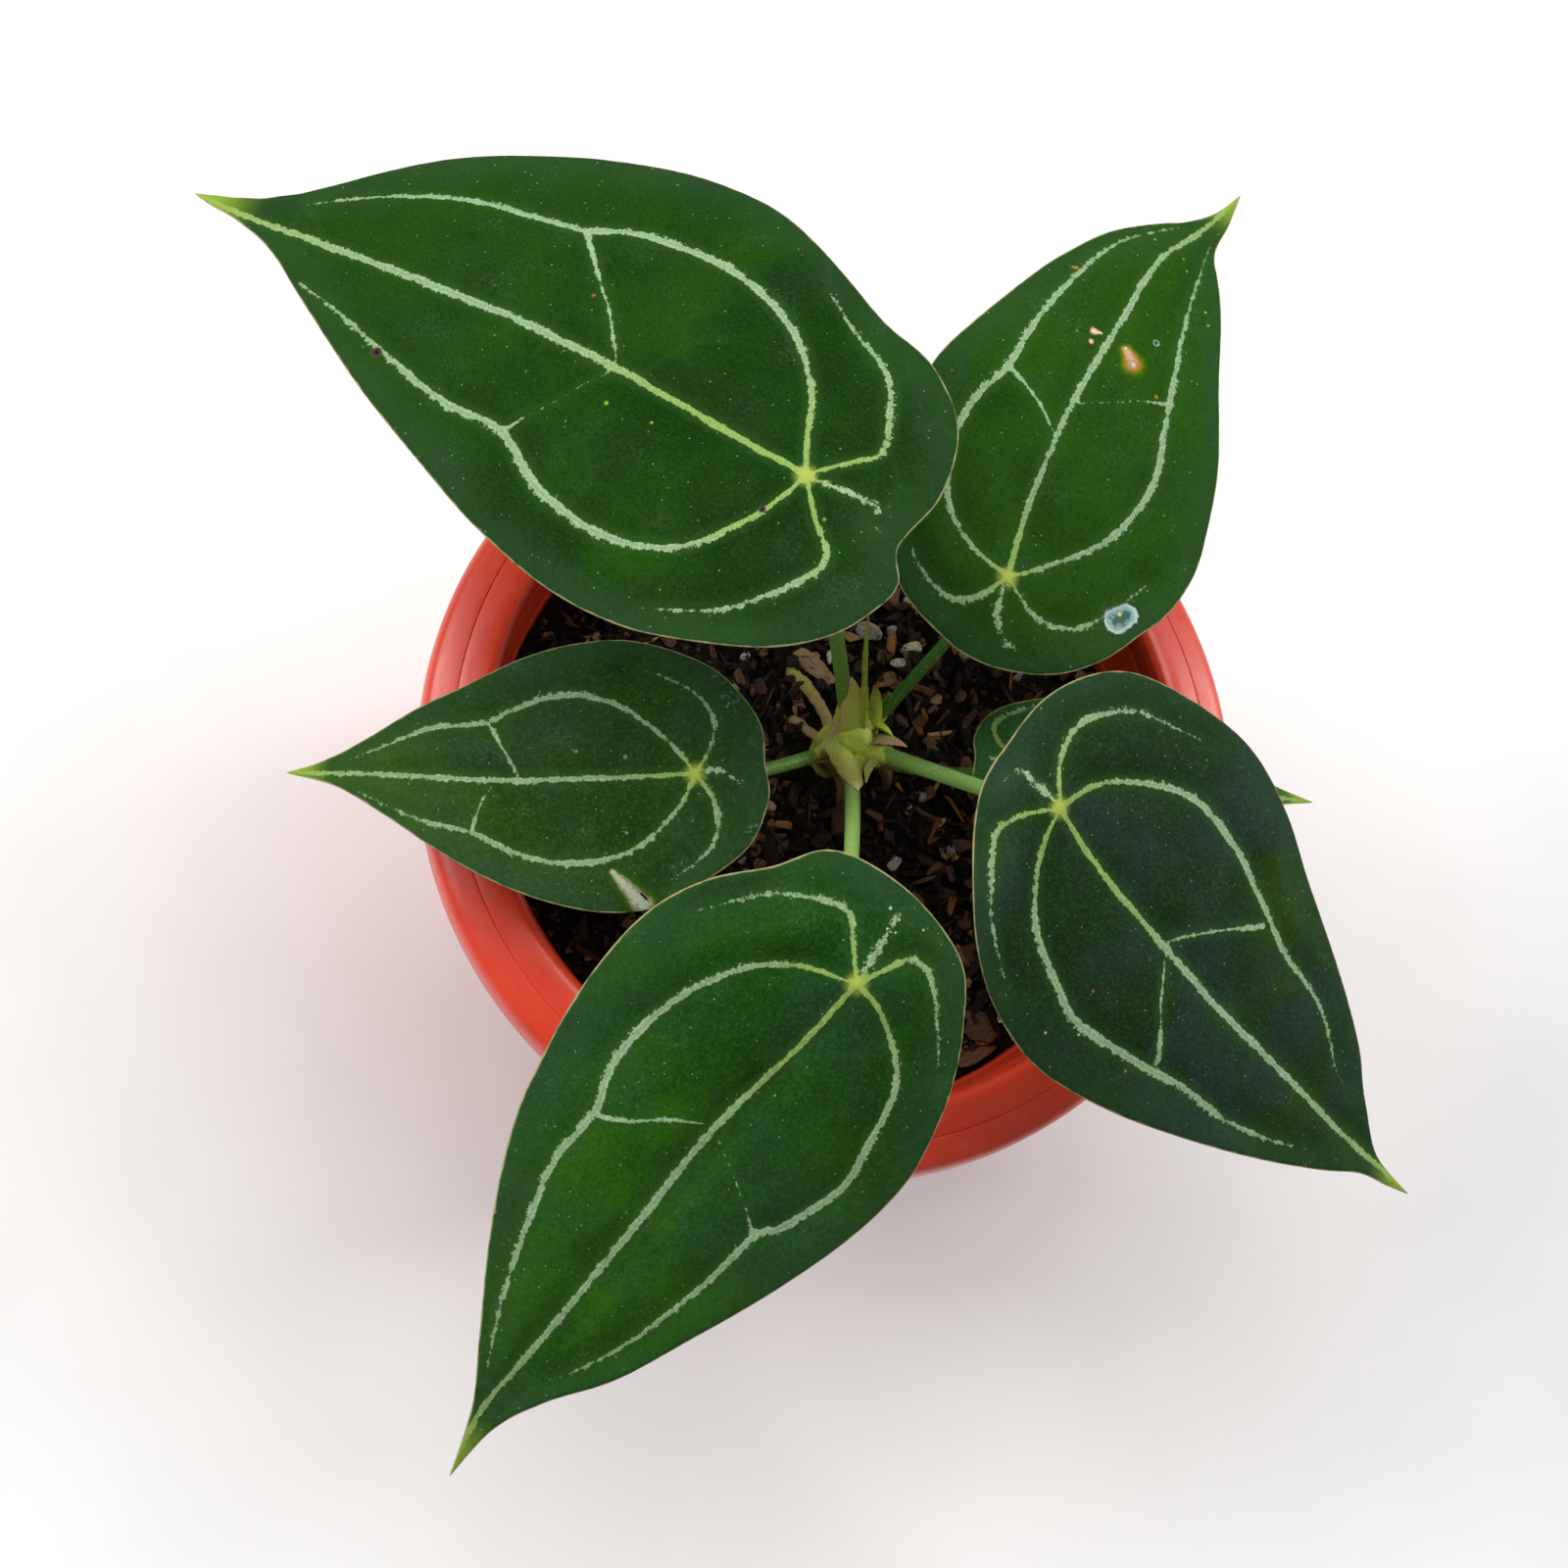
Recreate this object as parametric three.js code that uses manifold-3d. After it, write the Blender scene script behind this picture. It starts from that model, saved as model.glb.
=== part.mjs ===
// Potted Anthurium forgetii: six peltate leaves on their petioles, growing from a short crown
// in a moulded plastic pot. Millimetres, +Z up, origin at the middle of the pot's base.
import * as THREE from 'three';
import { mergeVertices } from 'three/addons/utils/BufferGeometryUtils.js';
import Module from 'manifold-3d';

const wasm = await Module();
wasm.setup();

// Driving dimensions of the pot
const POT_HEIGHT = 140;
const RIM_RADIUS = 90;
const RIM_DEPTH = 11.4;
const BASE_RADIUS = 59.4;
const WALL_DRAFT = 0.125;
const WALL = 1.8;
const FOOT_STEP = 2.5;
const FOOT_DISC_RADIUS = 19;
const FOOT_RING_RADIUS = 51;
const FLOOR = 2.2;
const INNER_STEPS = [118, 124];
const INNER_STEP = 0.4;
const DRAIN = { count: 6, radius: 4.5, circle: 35, sides: 14 };
const POT_SEGMENTS = 52;

// Driving dimensions of the potting mix
const SOIL_EDGE = 115;
const SOIL_DOME = 7;
const SOIL_LUMP = 0.9;
const SOIL_RINGS = 6;
const SOIL_SEGMENTS = 36;
const SCATTER_SEED = 20;
const CHIPS = { count: 34, long: [6, 15], wide: [3, 6], thick: [2, 3.4], lift: 0.2 };
const GRIT = { count: 12, radius: [1.8, 2.9], lift: 0.6 };
const MOST_TILT = 0.3;

// Driving dimensions of the plant
const GAP = 0.3;
const BLADE_THICKNESS = 0.8;
const BLADE_RINGS = [0.22, 0.45, 0.67, 0.86, 1];
const MARGIN_WAVES = 5;
const CHANNEL_DEPTH = 1;
const CHANNEL_WIDTH = 5;
const CHANNEL_START = 25;
const CROWN_PLACE = [2.5, 5.3];
const CROWN_PROFILE = [
  [0, 104], [4.4, 104], [5.3, 110], [5.5, 121], [6.2, 122.5], [5.6, 124], [6.1, 128],
  [6.9, 129.5], [6.4, 131], [7.1, 137], [6.2, 142], [3.8, 145.5], [0, 147],
];

// Outlines run from the notch behind the junction to the tip: [along the midrib, across it]
const LEAVES = [
  {
    name: 'leaf_1', junction: [-27.7, 31.6, 232], heading: 145.4, droop: 22, roll: 0,
    length: 157, back: 26, halfWidth: 52, fall: { tip: 16, back: 5, side: 7 },
    wave: 1.1, phase: 0.6, sideSamples: 24,
    left: [[-22, 2], [-26, 8.5], [-25.4, 15], [-21.5, 24], [-13, 32.5], [0, 39], [15, 43], [32, 43], [52, 39],
      [70, 33], [91, 25], [112, 15], [130, 5.5], [144, 1.6]],
    right: [[-22, 2], [-23, -11], [-18, -25], [-6, -34.5], [8, -38.5], [24, -45.5], [42, -51.5],
      [60, -52], [76, -48.5], [92, -42], [110, -31], [128, -14], [138, -5.5], [147, -2]],
  },
  {
    name: 'leaf_2', junction: [21.2, 24.6, 198], heading: 57.9, droop: 4, roll: 4,
    length: 114, back: 17, halfWidth: 36, fall: { tip: 10, back: 4, side: 5 },
    wave: 0.8, phase: 2.1, sideSamples: 20,
    left: [[-16, -8], [-17, 3], [-14, 16], [-6, 24.5], [8, 31], [20, 34.5], [34, 36], [48, 33],
      [69, 27], [85, 20], [96, 9.5], [105, 3.2]],
    right: [[-16, -8], [-10, -19], [-1, -26], [9, -30], [18, -33], [29, -33.5], [39, -31],
      [52, -26], [68, -16.5], [81, -10.5], [92, -5], [103, -0.8]],
  },
  {
    name: 'leaf_3', junction: [-37.7, -12.8, 172], heading: 177.7, droop: 13, roll: 0,
    length: 85, back: 15, halfWidth: 29, fall: { tip: 8, back: 3, side: 4 },
    wave: 0.8, phase: 4.0, sideSamples: 16,
    left: [[-14, -3], [-15, 4], [-11.5, 14], [-3, 21.5], [7, 27], [18, 28.5], [30, 26.5],
      [42, 22], [53, 16], [63, 9.5], [74, 3.2]],
    right: [[-14, -3], [-12.5, -12], [-5, -21], [4, -26], [15, -29], [26, -27.8], [37, -24],
      [48, -18], [58, -13], [68, -6.8], [77, -2.2]],
  },
  {
    name: 'leaf_4', junction: [-14.2, -62.6, 214], heading: -125.7, droop: 22, roll: -12,
    length: 127, back: 20, halfWidth: 40, fall: { tip: 13, back: 5, side: 6 },
    wave: 1.0, phase: 1.2, sideSamples: 20,
    left: [[-19.5, -10], [-19, 3], [-14.5, 15.5], [-5, 23], [4, 28], [14, 31.5], [26, 34],
      [40, 32.5], [57, 27], [76, 19], [91, 12.5], [104, 3.8], [114, 0.2]],
    right: [[-19.5, -10], [-16.5, -19.5], [-8, -26], [1, -34], [13, -39.5], [28, -40.5],
      [44, -38.5], [62, -34], [81, -25], [99, -14], [110, -7], [118, -3.4]],
  },
  {
    name: 'leaf_5', junction: [28.1, -25, 208], heading: -34.5, droop: 23, roll: 0,
    length: 132, back: 15, halfWidth: 41, fall: { tip: 12, back: 4, side: 6 },
    wave: 1.0, phase: 3.1, sideSamples: 20,
    left: [[-15, 3], [-14, 16], [-8.5, 27], [1, 35], [16, 40], [33, 42], [49, 38], [63, 30.5],
      [82, 21], [96, 13], [107, 4.6], [118, 0]],
    right: [[-15, 3], [-14, -8], [-7, -20], [4, -31], [18, -37.5], [34, -39.5], [52, -36],
      [70, -29.5], [88, -21.5], [104, -13], [115, -6.2], [124, -3]],
  },
  {
    name: 'leaf_6', junction: [31.9, -4.6, 165], heading: -1.5, droop: 7, roll: 0,
    length: 73, back: 10, halfWidth: 19, fall: { tip: 5, back: 2, side: 3 },
    wave: 0.6, phase: 5.2, sideSamples: 14,
    left: [[-8.5, 0], [-8.6, 4.5], [-5.5, 9.5], [1, 13], [12, 15.8], [24, 16], [37, 12.5],
      [49, 7.4], [60, 2.8]],
    right: [[-8.5, 0], [-8.6, -5], [-5, -11.5], [4, -16.5], [16, -18.5], [29, -17], [41, -12.6],
      [52, -7], [62, -2.4]],
  },
];

// Each petiole leaves the crown at a heading and a rise in degrees and meets its blade square on.
// reach and hang are the lengths of the curve's two handles
const PETIOLES = [
  { root: [2, 8, 137], heading: 133, rise: 70, reach: 26, hang: 30, thick: 3.3, thin: 3.1 },
  { root: [6.2, 7.6, 136], heading: 45, rise: 63, reach: 20, hang: 18, thick: 2.7, thin: 2.4 },
  { root: [-0.4, 3.4, 133.5], heading: 205, rise: 30, reach: 18, hang: 14, thick: 3.1, thin: 2.8 },
  { root: [3, 1.6, 135], heading: 259, rise: 51, reach: 36, hang: 20, thick: 3.8, thin: 3.1 },
  { root: [6, 3.9, 135.5], heading: -44, rise: 57, reach: 26, hang: 11, thick: 4, thin: 3.4 },
  { root: [6, 3.6, 129.5], heading: -15, rise: 4, reach: 18, hang: 16, thick: 2.6, thin: 2.3 },
];
const PETIOLE_SIDES = 8;
const PETIOLE_STEP = 6;
const JOINT_LENGTH = 7;
const JOINT_SWELL = 0.35;
const SOCKET = { length: 7.5, wall: 1.1, taper: 0.45 };

// Sheathing bracts round the shoots: points from root to tip, and half the width and thickness
const BRACTS = [
  {
    name: 'bract_1', half: [2.8, 1.3], face: 255,
    path: [[1, 4.6, 140], [-0.4, 7.6, 149], [-1.6, 12.4, 158.5]],
  },
  {
    name: 'bract_2', half: [2, 1.1], face: 20,
    path: [[5.4, 6.6, 140], [4.6, 9, 149], [2.9, 11.8, 157]],
  },
  {
    name: 'bract_3', half: [2.6, 1.2], face: 60,
    path: [[6, 4.4, 139], [8.6, 2.4, 147], [11.5, 0.7, 152]],
  },
  {
    name: 'bract_4', half: [2.7, 1.3], face: 235,
    path: [[1.4, 2.2, 139], [1.2, -3.4, 146.5], [1.2, -9.4, 151.5]],
  },
];

// The rolled new leaf
const SPEAR = {
  thick: 2.2, thin: 0.9,
  path: [[4.4, 4.6, 141], [2.6, 9.4, 151], [0, 15.8, 163], [-1.9, 21.8, 174]],
};

// Roots leave the crown's foot and go down into the potting mix
const ROOTS = [
  {
    name: 'root_1', thick: 2.5, thin: 1.9,
    path: [[0.5, 7, 128.5], [-1.6, 15, 126.5], [-3.6, 21, 123], [-7, 24.4, 117]],
  },
  {
    name: 'root_2', thick: 2.4, thin: 1.6,
    path: [[0, 6.5, 125], [-4.6, 11.5, 124], [-9, 16, 120], [-12, 19, 113]],
  },
  {
    name: 'root_3', thick: 2.3, thin: 1.6,
    path: [[5, 4, 124], [11, 3.6, 124.5], [15.5, 0, 120.5], [17, -4, 114]],
  },
  {
    name: 'root_4', thick: 2.3, thin: 1.6,
    path: [[2.6, 2.5, 124], [3.6, -3, 123.5], [3, -8, 120], [2, -12, 113]],
  },
];
const PETIOLE_SECTION_HEADING = 110;
const ROOT_SIDES = 7;
const ROOT_STEPS = 8;
const BRACT_SIDES = 10;
const BRACT_STEPS = 6;
const CROWN_SEGMENTS = 18;

const UP = new THREE.Vector3(0, 0, 1);
const object = new THREE.Group();

// Materials
const finish = (color, roughness) => new THREE.MeshStandardMaterial({ color, roughness, metalness: 0 });
const potPlastic = finish(0xb5402a, 0.4);
const pottingMix = finish(0x2c1f17, 0.95);
const velvetLeaf = finish(0x1d4a20, 0.75);
const greenStem = finish(0x5d8a3a, 0.5);
const crownFlesh = finish(0x7d9a3c, 0.55);
const dryBract = finish(0x8a7a3c, 0.7);
const rootSkin = finish(0x6b5a30, 0.8);

// Solids: weld a geometry's vertices, drop what collapsed, and go to and from the boolean library
function weld(geometry) {
  const bare = new THREE.BufferGeometry();
  bare.setAttribute('position', geometry.getAttribute('position').clone());
  bare.setIndex(geometry.index ? geometry.index.clone() : null);
  const welded = mergeVertices(bare, 1e-4);
  const kept = [];
  const corners = welded.index.array;
  for (let i = 0; i < corners.length; i += 3) {
    const [a, b, c] = [corners[i], corners[i + 1], corners[i + 2]];
    if (a !== b && b !== c && c !== a) {
      kept.push(a, b, c);
    }
  }
  welded.setIndex(kept);
  return welded;
}

function toSolid(geometry) {
  const welded = weld(geometry);
  const mesh = new wasm.Mesh({
    numProp: 3,
    vertProperties: new Float32Array(welded.getAttribute('position').array),
    triVerts: new Uint32Array(welded.index.array),
  });
  return new wasm.Manifold(mesh);
}

function toGeometry(solid) {
  const mesh = solid.getMesh();
  const geometry = new THREE.BufferGeometry();
  geometry.setAttribute('position', new THREE.BufferAttribute(new Float32Array(mesh.vertProperties), 3));
  geometry.setIndex(Array.from(mesh.triVerts));
  return geometry;
}

function largestBody(solid) {
  const bodies = solid.decompose();
  return bodies.reduce((best, body) => (body.volume() > best.volume() ? body : best));
}

function addMesh(name, geometry, material) {
  const shown = weld(geometry);
  shown.computeVertexNormals();
  const mesh = new THREE.Mesh(shown, material);
  mesh.name = name;
  object.add(mesh);
}

const vector = (point) => new THREE.Vector3(...point);

function direction(heading, rise) {
  const turn = THREE.MathUtils.degToRad(heading);
  const lift = THREE.MathUtils.degToRad(rise);
  return new THREE.Vector3(
    Math.cos(turn) * Math.cos(lift),
    Math.sin(turn) * Math.cos(lift),
    Math.sin(lift),
  );
}

// A round shape turned about +Z from a profile of [radius, height]
function turned(profile, segments) {
  const points = profile.map(([radius, height]) => new THREE.Vector2(radius, height));
  return new THREE.LatheGeometry(points, segments).rotateX(Math.PI / 2);
}

// A stem along a curve: radiiAt gives its two half sizes at 0 to 1, side is where the first one points
function stem(curve, radiiAt, sides, steps, side) {
  const tube = new THREE.CylinderGeometry(1, 1, 1, sides, steps);
  const places = tube.getAttribute('position');
  for (let i = 0; i < places.count; i += 1) {
    const t = THREE.MathUtils.clamp(places.getY(i) + 0.5, 0, 1);
    const along = curve.getTangentAt(t);
    const across = new THREE.Vector3().crossVectors(along, side).normalize();
    const out = new THREE.Vector3().crossVectors(across, along);
    const [wide, deep] = radiiAt(t);
    const place = curve.getPointAt(t);
    place.addScaledVector(across, places.getX(i) * wide);
    place.addScaledVector(out, places.getZ(i) * deep);
    places.setXYZ(i, place.x, place.y, place.z);
  }
  return tube;
}

// Pot
function outerWall(height) {
  return BASE_RADIUS + height * WALL_DRAFT;
}

function innerWall(height) {
  return outerWall(height) - WALL;
}

function potProfile() {
  const floorTop = FOOT_STEP + FLOOR;
  const [lower, upper] = INNER_STEPS;
  const foot = [
    [0, 0], [FOOT_DISC_RADIUS, 0], [FOOT_DISC_RADIUS + 2, FOOT_STEP],
    [FOOT_RING_RADIUS - 2, FOOT_STEP], [FOOT_RING_RADIUS, 0], [BASE_RADIUS - 1, 0],
    [outerWall(1.5), 1.5],
  ];
  const rimUnderside = [
    [outerWall(POT_HEIGHT - 6), POT_HEIGHT - 6], [RIM_RADIUS - 11.6, POT_HEIGHT - 2.3],
    [RIM_RADIUS - 9.4, POT_HEIGHT - 2.4], [RIM_RADIUS - 6.6, POT_HEIGHT - 3.6],
    [RIM_RADIUS - 3.6, POT_HEIGHT - 5.5], [RIM_RADIUS - 2.3, POT_HEIGHT - 7.2],
    [RIM_RADIUS - WALL, POT_HEIGHT - RIM_DEPTH],
  ];
  const rimTop = [
    [RIM_RADIUS, POT_HEIGHT - RIM_DEPTH], [RIM_RADIUS - 0.7, POT_HEIGHT - 6.2],
    [RIM_RADIUS - 2.8, POT_HEIGHT - 3.7], [RIM_RADIUS - 5.8, POT_HEIGHT - 1.8],
    [RIM_RADIUS - 8.8, POT_HEIGHT - 0.8], [RIM_RADIUS - 9.2, POT_HEIGHT - 0.2],
    [RIM_RADIUS - 12.4, POT_HEIGHT], [RIM_RADIUS - 14.4, POT_HEIGHT - 0.8],
    [RIM_RADIUS - 15.4, POT_HEIGHT - 3.2],
  ];
  const inside = [
    [innerWall(upper) + 2 * INNER_STEP, upper + 0.4], [innerWall(upper) + INNER_STEP, upper],
    [innerWall(lower) + INNER_STEP, lower + 0.4], [innerWall(lower), lower],
    [innerWall(floorTop), floorTop], [FOOT_DISC_RADIUS + 4, floorTop], [FOOT_DISC_RADIUS, FLOOR],
    [0, FLOOR],
  ];
  return [...foot, ...rimUnderside, ...rimTop, ...inside];
}

function makePot() {
  let pot = toSolid(turned(potProfile(), POT_SEGMENTS));
  for (let i = 0; i < DRAIN.count; i += 1) {
    const turn = ((i + 0.5) / DRAIN.count) * 2 * Math.PI;
    const hole = new THREE.CylinderGeometry(DRAIN.radius, DRAIN.radius, 20, DRAIN.sides).rotateX(Math.PI / 2);
    hole.translate(DRAIN.circle * Math.cos(turn), DRAIN.circle * Math.sin(turn), 0);
    pot = pot.subtract(toSolid(hole));
  }
  addMesh('pot', toGeometry(pot), potPlastic);
}

// Potting mix: a lumpy domed fill with bark chips and white grit sunk into its top
function seededRandom(seed) {
  let state = seed;
  return () => {
    state = (state * 1664525 + 1013904223) % 4294967296;
    return state / 4294967296;
  };
}

function soilHeight(x, y) {
  const spread = (x * x + y * y) / innerWall(SOIL_EDGE) ** 2;
  const lumps = Math.sin(0.21 * x + 1.3) * Math.cos(0.17 * y - 0.4) + Math.sin(0.38 * y + 0.25 * x);
  return SOIL_EDGE + SOIL_DOME * (1 - spread) + SOIL_LUMP * lumps;
}

function makeSoilBody() {
  const floorTop = FOOT_STEP + FLOOR + GAP;
  const profile = [
    [0, FLOOR + GAP], [FOOT_DISC_RADIUS - 1, FLOOR + GAP], [FOOT_DISC_RADIUS + 4, floorTop],
    [innerWall(floorTop) - GAP, floorTop], [innerWall(SOIL_EDGE - 2) - GAP, SOIL_EDGE - 2],
  ];
  for (let ring = SOIL_RINGS; ring >= 0; ring -= 1) {
    profile.push([(innerWall(SOIL_EDGE) - GAP) * (ring / SOIL_RINGS), SOIL_EDGE]);
  }
  const body = turned(profile, SOIL_SEGMENTS);
  const places = body.getAttribute('position');
  for (let i = 0; i < places.count; i += 1) {
    if (places.getZ(i) > SOIL_EDGE - 1) {
      places.setZ(i, soilHeight(places.getX(i), places.getY(i)));
    }
  }
  return toSolid(body);
}

function scatterPieces() {
  const random = seededRandom(SCATTER_SEED);
  const between = ([low, high]) => low + (high - low) * random();
  const pieces = [];
  for (let i = 0; i < CHIPS.count + GRIT.count; i += 1) {
    const isChip = i < CHIPS.count;
    const spread = Math.sqrt(between([0.05, 0.9])) * innerWall(SOIL_EDGE);
    const turn = between([0, 2 * Math.PI]);
    const x = spread * Math.cos(turn);
    const y = spread * Math.sin(turn);
    const chip = [between(CHIPS.long), between(CHIPS.wide), between(CHIPS.thick)];
    const radius = between(GRIT.radius);
    const piece = isChip ? new THREE.BoxGeometry(...chip) : new THREE.IcosahedronGeometry(radius, 0);
    piece.rotateX(between([-MOST_TILT, MOST_TILT]));
    piece.rotateY(between([-MOST_TILT, MOST_TILT]));
    piece.rotateZ(between([0, Math.PI]));
    piece.translate(x, y, soilHeight(x, y) + (isChip ? CHIPS.lift : GRIT.lift));
    pieces.push(toSolid(piece));
  }
  return pieces;
}

// Leaves: a blade's height over its own flat plane, its frame, and its closed margin
function bladeHeight(leaf, x, y) {
  const along = x > 0 ? x / leaf.length : x / leaf.back;
  const endFall = x > 0 ? leaf.fall.tip : leaf.fall.back;
  const across = y / leaf.halfWidth;
  const edge = Math.min(1, Math.hypot(x / leaf.length, across)) ** 3;
  const ripple = leaf.wave * edge * Math.sin(MARGIN_WAVES * Math.atan2(y, x) + leaf.phase);
  const channelStart = Math.min(1, Math.abs(x) / CHANNEL_START);
  const channel = CHANNEL_DEPTH * Math.exp(-Math.abs(y) / CHANNEL_WIDTH) * channelStart;
  return ripple - channel - endFall * along ** 2 - leaf.fall.side * across ** 2;
}

function bladeFrame(leaf) {
  const along = direction(leaf.heading, -leaf.droop);
  const across = new THREE.Vector3().crossVectors(UP, along).normalize();
  across.applyAxisAngle(along, THREE.MathUtils.degToRad(leaf.roll));
  const normal = new THREE.Vector3().crossVectors(along, across);
  return new THREE.Matrix4().makeBasis(along, across, normal).setPosition(...leaf.junction);
}

function bladeMargin(leaf) {
  const tip = [leaf.length, 0];
  const side = (points) => {
    const places = [...points, tip].map(([x, y]) => new THREE.Vector2(x, y));
    return new THREE.SplineCurve(places).getSpacedPoints(leaf.sideSamples);
  };
  return [...side(leaf.right).slice(0, -1), ...side(leaf.left).reverse().slice(0, -1)];
}

function bladeGeometry(leaf) {
  const margin = bladeMargin(leaf);
  const count = margin.length;
  const layer = 1 + count * BLADE_RINGS.length;
  const positions = [];
  for (const offset of [BLADE_THICKNESS / 2, -BLADE_THICKNESS / 2]) {
    positions.push(0, 0, bladeHeight(leaf, 0, 0) + offset);
    for (const ring of BLADE_RINGS) {
      for (const { x, y } of margin) {
        positions.push(x * ring, y * ring, bladeHeight(leaf, x * ring, y * ring) + offset);
      }
    }
  }
  const faces = [];
  const addFace = (a, b, c) => {
    faces.push(a, b, c);
    faces.push(layer + a, layer + c, layer + b);
  };
  for (let i = 0; i < count; i += 1) {
    const next = (i + 1) % count;
    addFace(0, 1 + i, 1 + next);
    for (let ring = 1; ring < BLADE_RINGS.length; ring += 1) {
      const inner = 1 + (ring - 1) * count;
      const outer = 1 + ring * count;
      addFace(inner + i, outer + i, outer + next);
      addFace(inner + i, outer + next, inner + next);
    }
    const top = 1 + (BLADE_RINGS.length - 1) * count;
    faces.push(top + i, layer + top + i, layer + top + next);
    faces.push(top + i, layer + top + next, top + next);
  }
  const geometry = new THREE.BufferGeometry();
  geometry.setAttribute('position', new THREE.Float32BufferAttribute(positions, 3));
  geometry.setIndex(faces);
  return geometry.applyMatrix4(bladeFrame(leaf));
}

// Petioles: from a socket in the crown to just under the blade, swollen at the joint below it
function petioleCurve(petiole, leaf) {
  const frame = bladeFrame(leaf);
  const normal = new THREE.Vector3().setFromMatrixColumn(frame, 2);
  const end = vector(leaf.junction).addScaledVector(normal, -BLADE_THICKNESS / 2 - GAP);
  const root = vector(petiole.root);
  const leave = root.clone().addScaledVector(direction(petiole.heading, petiole.rise), petiole.reach);
  const arrive = end.clone().addScaledVector(normal, -petiole.hang);
  return new THREE.CubicBezierCurve3(root, leave, arrive, end);
}

function petioleStem(petiole, leaf, extra) {
  const curve = petioleCurve(petiole, leaf);
  const length = curve.getLength();
  const radiiAt = (t) => {
    const toTop = (1 - t) * length;
    const joint = JOINT_SWELL * Math.exp(-((toTop / JOINT_LENGTH) ** 2));
    const radius = THREE.MathUtils.lerp(petiole.thick, petiole.thin, t) / 2 + joint + extra;
    return [radius, radius];
  };
  const side = direction(PETIOLE_SECTION_HEADING, 0);
  return stem(curve, radiiAt, PETIOLE_SIDES, Math.round(length / PETIOLE_STEP), side);
}

function socketStem(petiole, leaf) {
  const curve = petioleCurve(petiole, leaf);
  const part = SOCKET.length / curve.getLength();
  const short = new THREE.CatmullRomCurve3([0, 0.5, 1].map((t) => curve.getPointAt(t * part)));
  const radiiAt = (t) => {
    const radius = petiole.thick / 2 + GAP + SOCKET.wall * (1 - SOCKET.taper * t);
    return [radius, radius];
  };
  return stem(short, radiiAt, PETIOLE_SIDES, 2, direction(PETIOLE_SECTION_HEADING, 0));
}

// Bracts, the new leaf and roots
function taperedStem({ path, thick, thin }, extra) {
  const curve = new THREE.CatmullRomCurve3(path.map(vector));
  const radiiAt = (t) => {
    const radius = THREE.MathUtils.lerp(thick, thin, t) / 2 + extra;
    return [radius, radius];
  };
  return stem(curve, radiiAt, ROOT_SIDES, ROOT_STEPS, UP);
}

function bractStem({ path, half, face }, extra) {
  const curve = new THREE.CatmullRomCurve3(path.map(vector));
  const radiiAt = (t) => {
    const taper = Math.sqrt(1 - t * 0.97) * (1 - 0.3 * t);
    return half.map((size) => size * taper + extra);
  };
  return stem(curve, radiiAt, BRACT_SIDES, BRACT_STEPS, direction(face, 20));
}

// Assembly: what roots in the crown is cut out of it, and what stands in the mix out of that
const shoots = [];
const sockets = [];
PETIOLES.forEach((petiole, i) => {
  shoots.push(toSolid(petioleStem(petiole, LEAVES[i], GAP)));
  sockets.push(toSolid(socketStem(petiole, LEAVES[i])));
  addMesh(`petiole_${i + 1}`, petioleStem(petiole, LEAVES[i], 0), greenStem);
  addMesh(LEAVES[i].name, bladeGeometry(LEAVES[i]), velvetLeaf);
});
shoots.push(toSolid(taperedStem(SPEAR, GAP)));
addMesh('new_leaf', taperedStem(SPEAR, 0), greenStem);

const bractClearances = [];
for (const bract of BRACTS) {
  let solid = toSolid(bractStem(bract, 0));
  for (const other of [...shoots, ...bractClearances]) {
    solid = solid.subtract(other);
  }
  bractClearances.push(toSolid(bractStem(bract, GAP)));
  addMesh(bract.name, toGeometry(largestBody(solid)), dryBract);
}

const rootClearances = [];
for (const root of ROOTS) {
  rootClearances.push(toSolid(taperedStem(root, GAP)));
  addMesh(root.name, taperedStem(root, 0), rootSkin);
}

function crownBody(extra) {
  const profile = CROWN_PROFILE.map(([radius, height], i) => {
    const isEnd = i === 0 || i === CROWN_PROFILE.length - 1;
    return [isEnd ? 0 : radius + extra, i < 2 ? height - extra : height + (isEnd ? extra : 0)];
  });
  return toSolid(turned(profile, CROWN_SEGMENTS).translate(...CROWN_PLACE, 0));
}

let crown = crownBody(0);
for (const socket of sockets) {
  crown = crown.add(socket);
}
for (const shoot of [...shoots, ...bractClearances, ...rootClearances]) {
  crown = crown.subtract(shoot);
}
addMesh('crown', toGeometry(largestBody(crown)), crownFlesh);

const soilReach = innerWall(SOIL_EDGE - 8) - GAP;
const withinPot = toSolid(turned([[0, 0], [soilReach, 0], [soilReach, 200], [0, 200]], SOIL_SEGMENTS));
let soil = makeSoilBody();
for (const piece of scatterPieces()) {
  soil = soil.add(piece.intersect(withinPot));
}
for (const hole of [crownBody(GAP), ...rootClearances]) {
  soil = soil.subtract(hole);
}
addMesh('potting_mix', toGeometry(largestBody(soil)), pottingMix);
makePot();

export default object;
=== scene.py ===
import math

import bmesh
import bpy
import numpy as np
from mathutils import Matrix, Vector, noise
from mathutils.geometry import delaunay_2d_cdt


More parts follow.
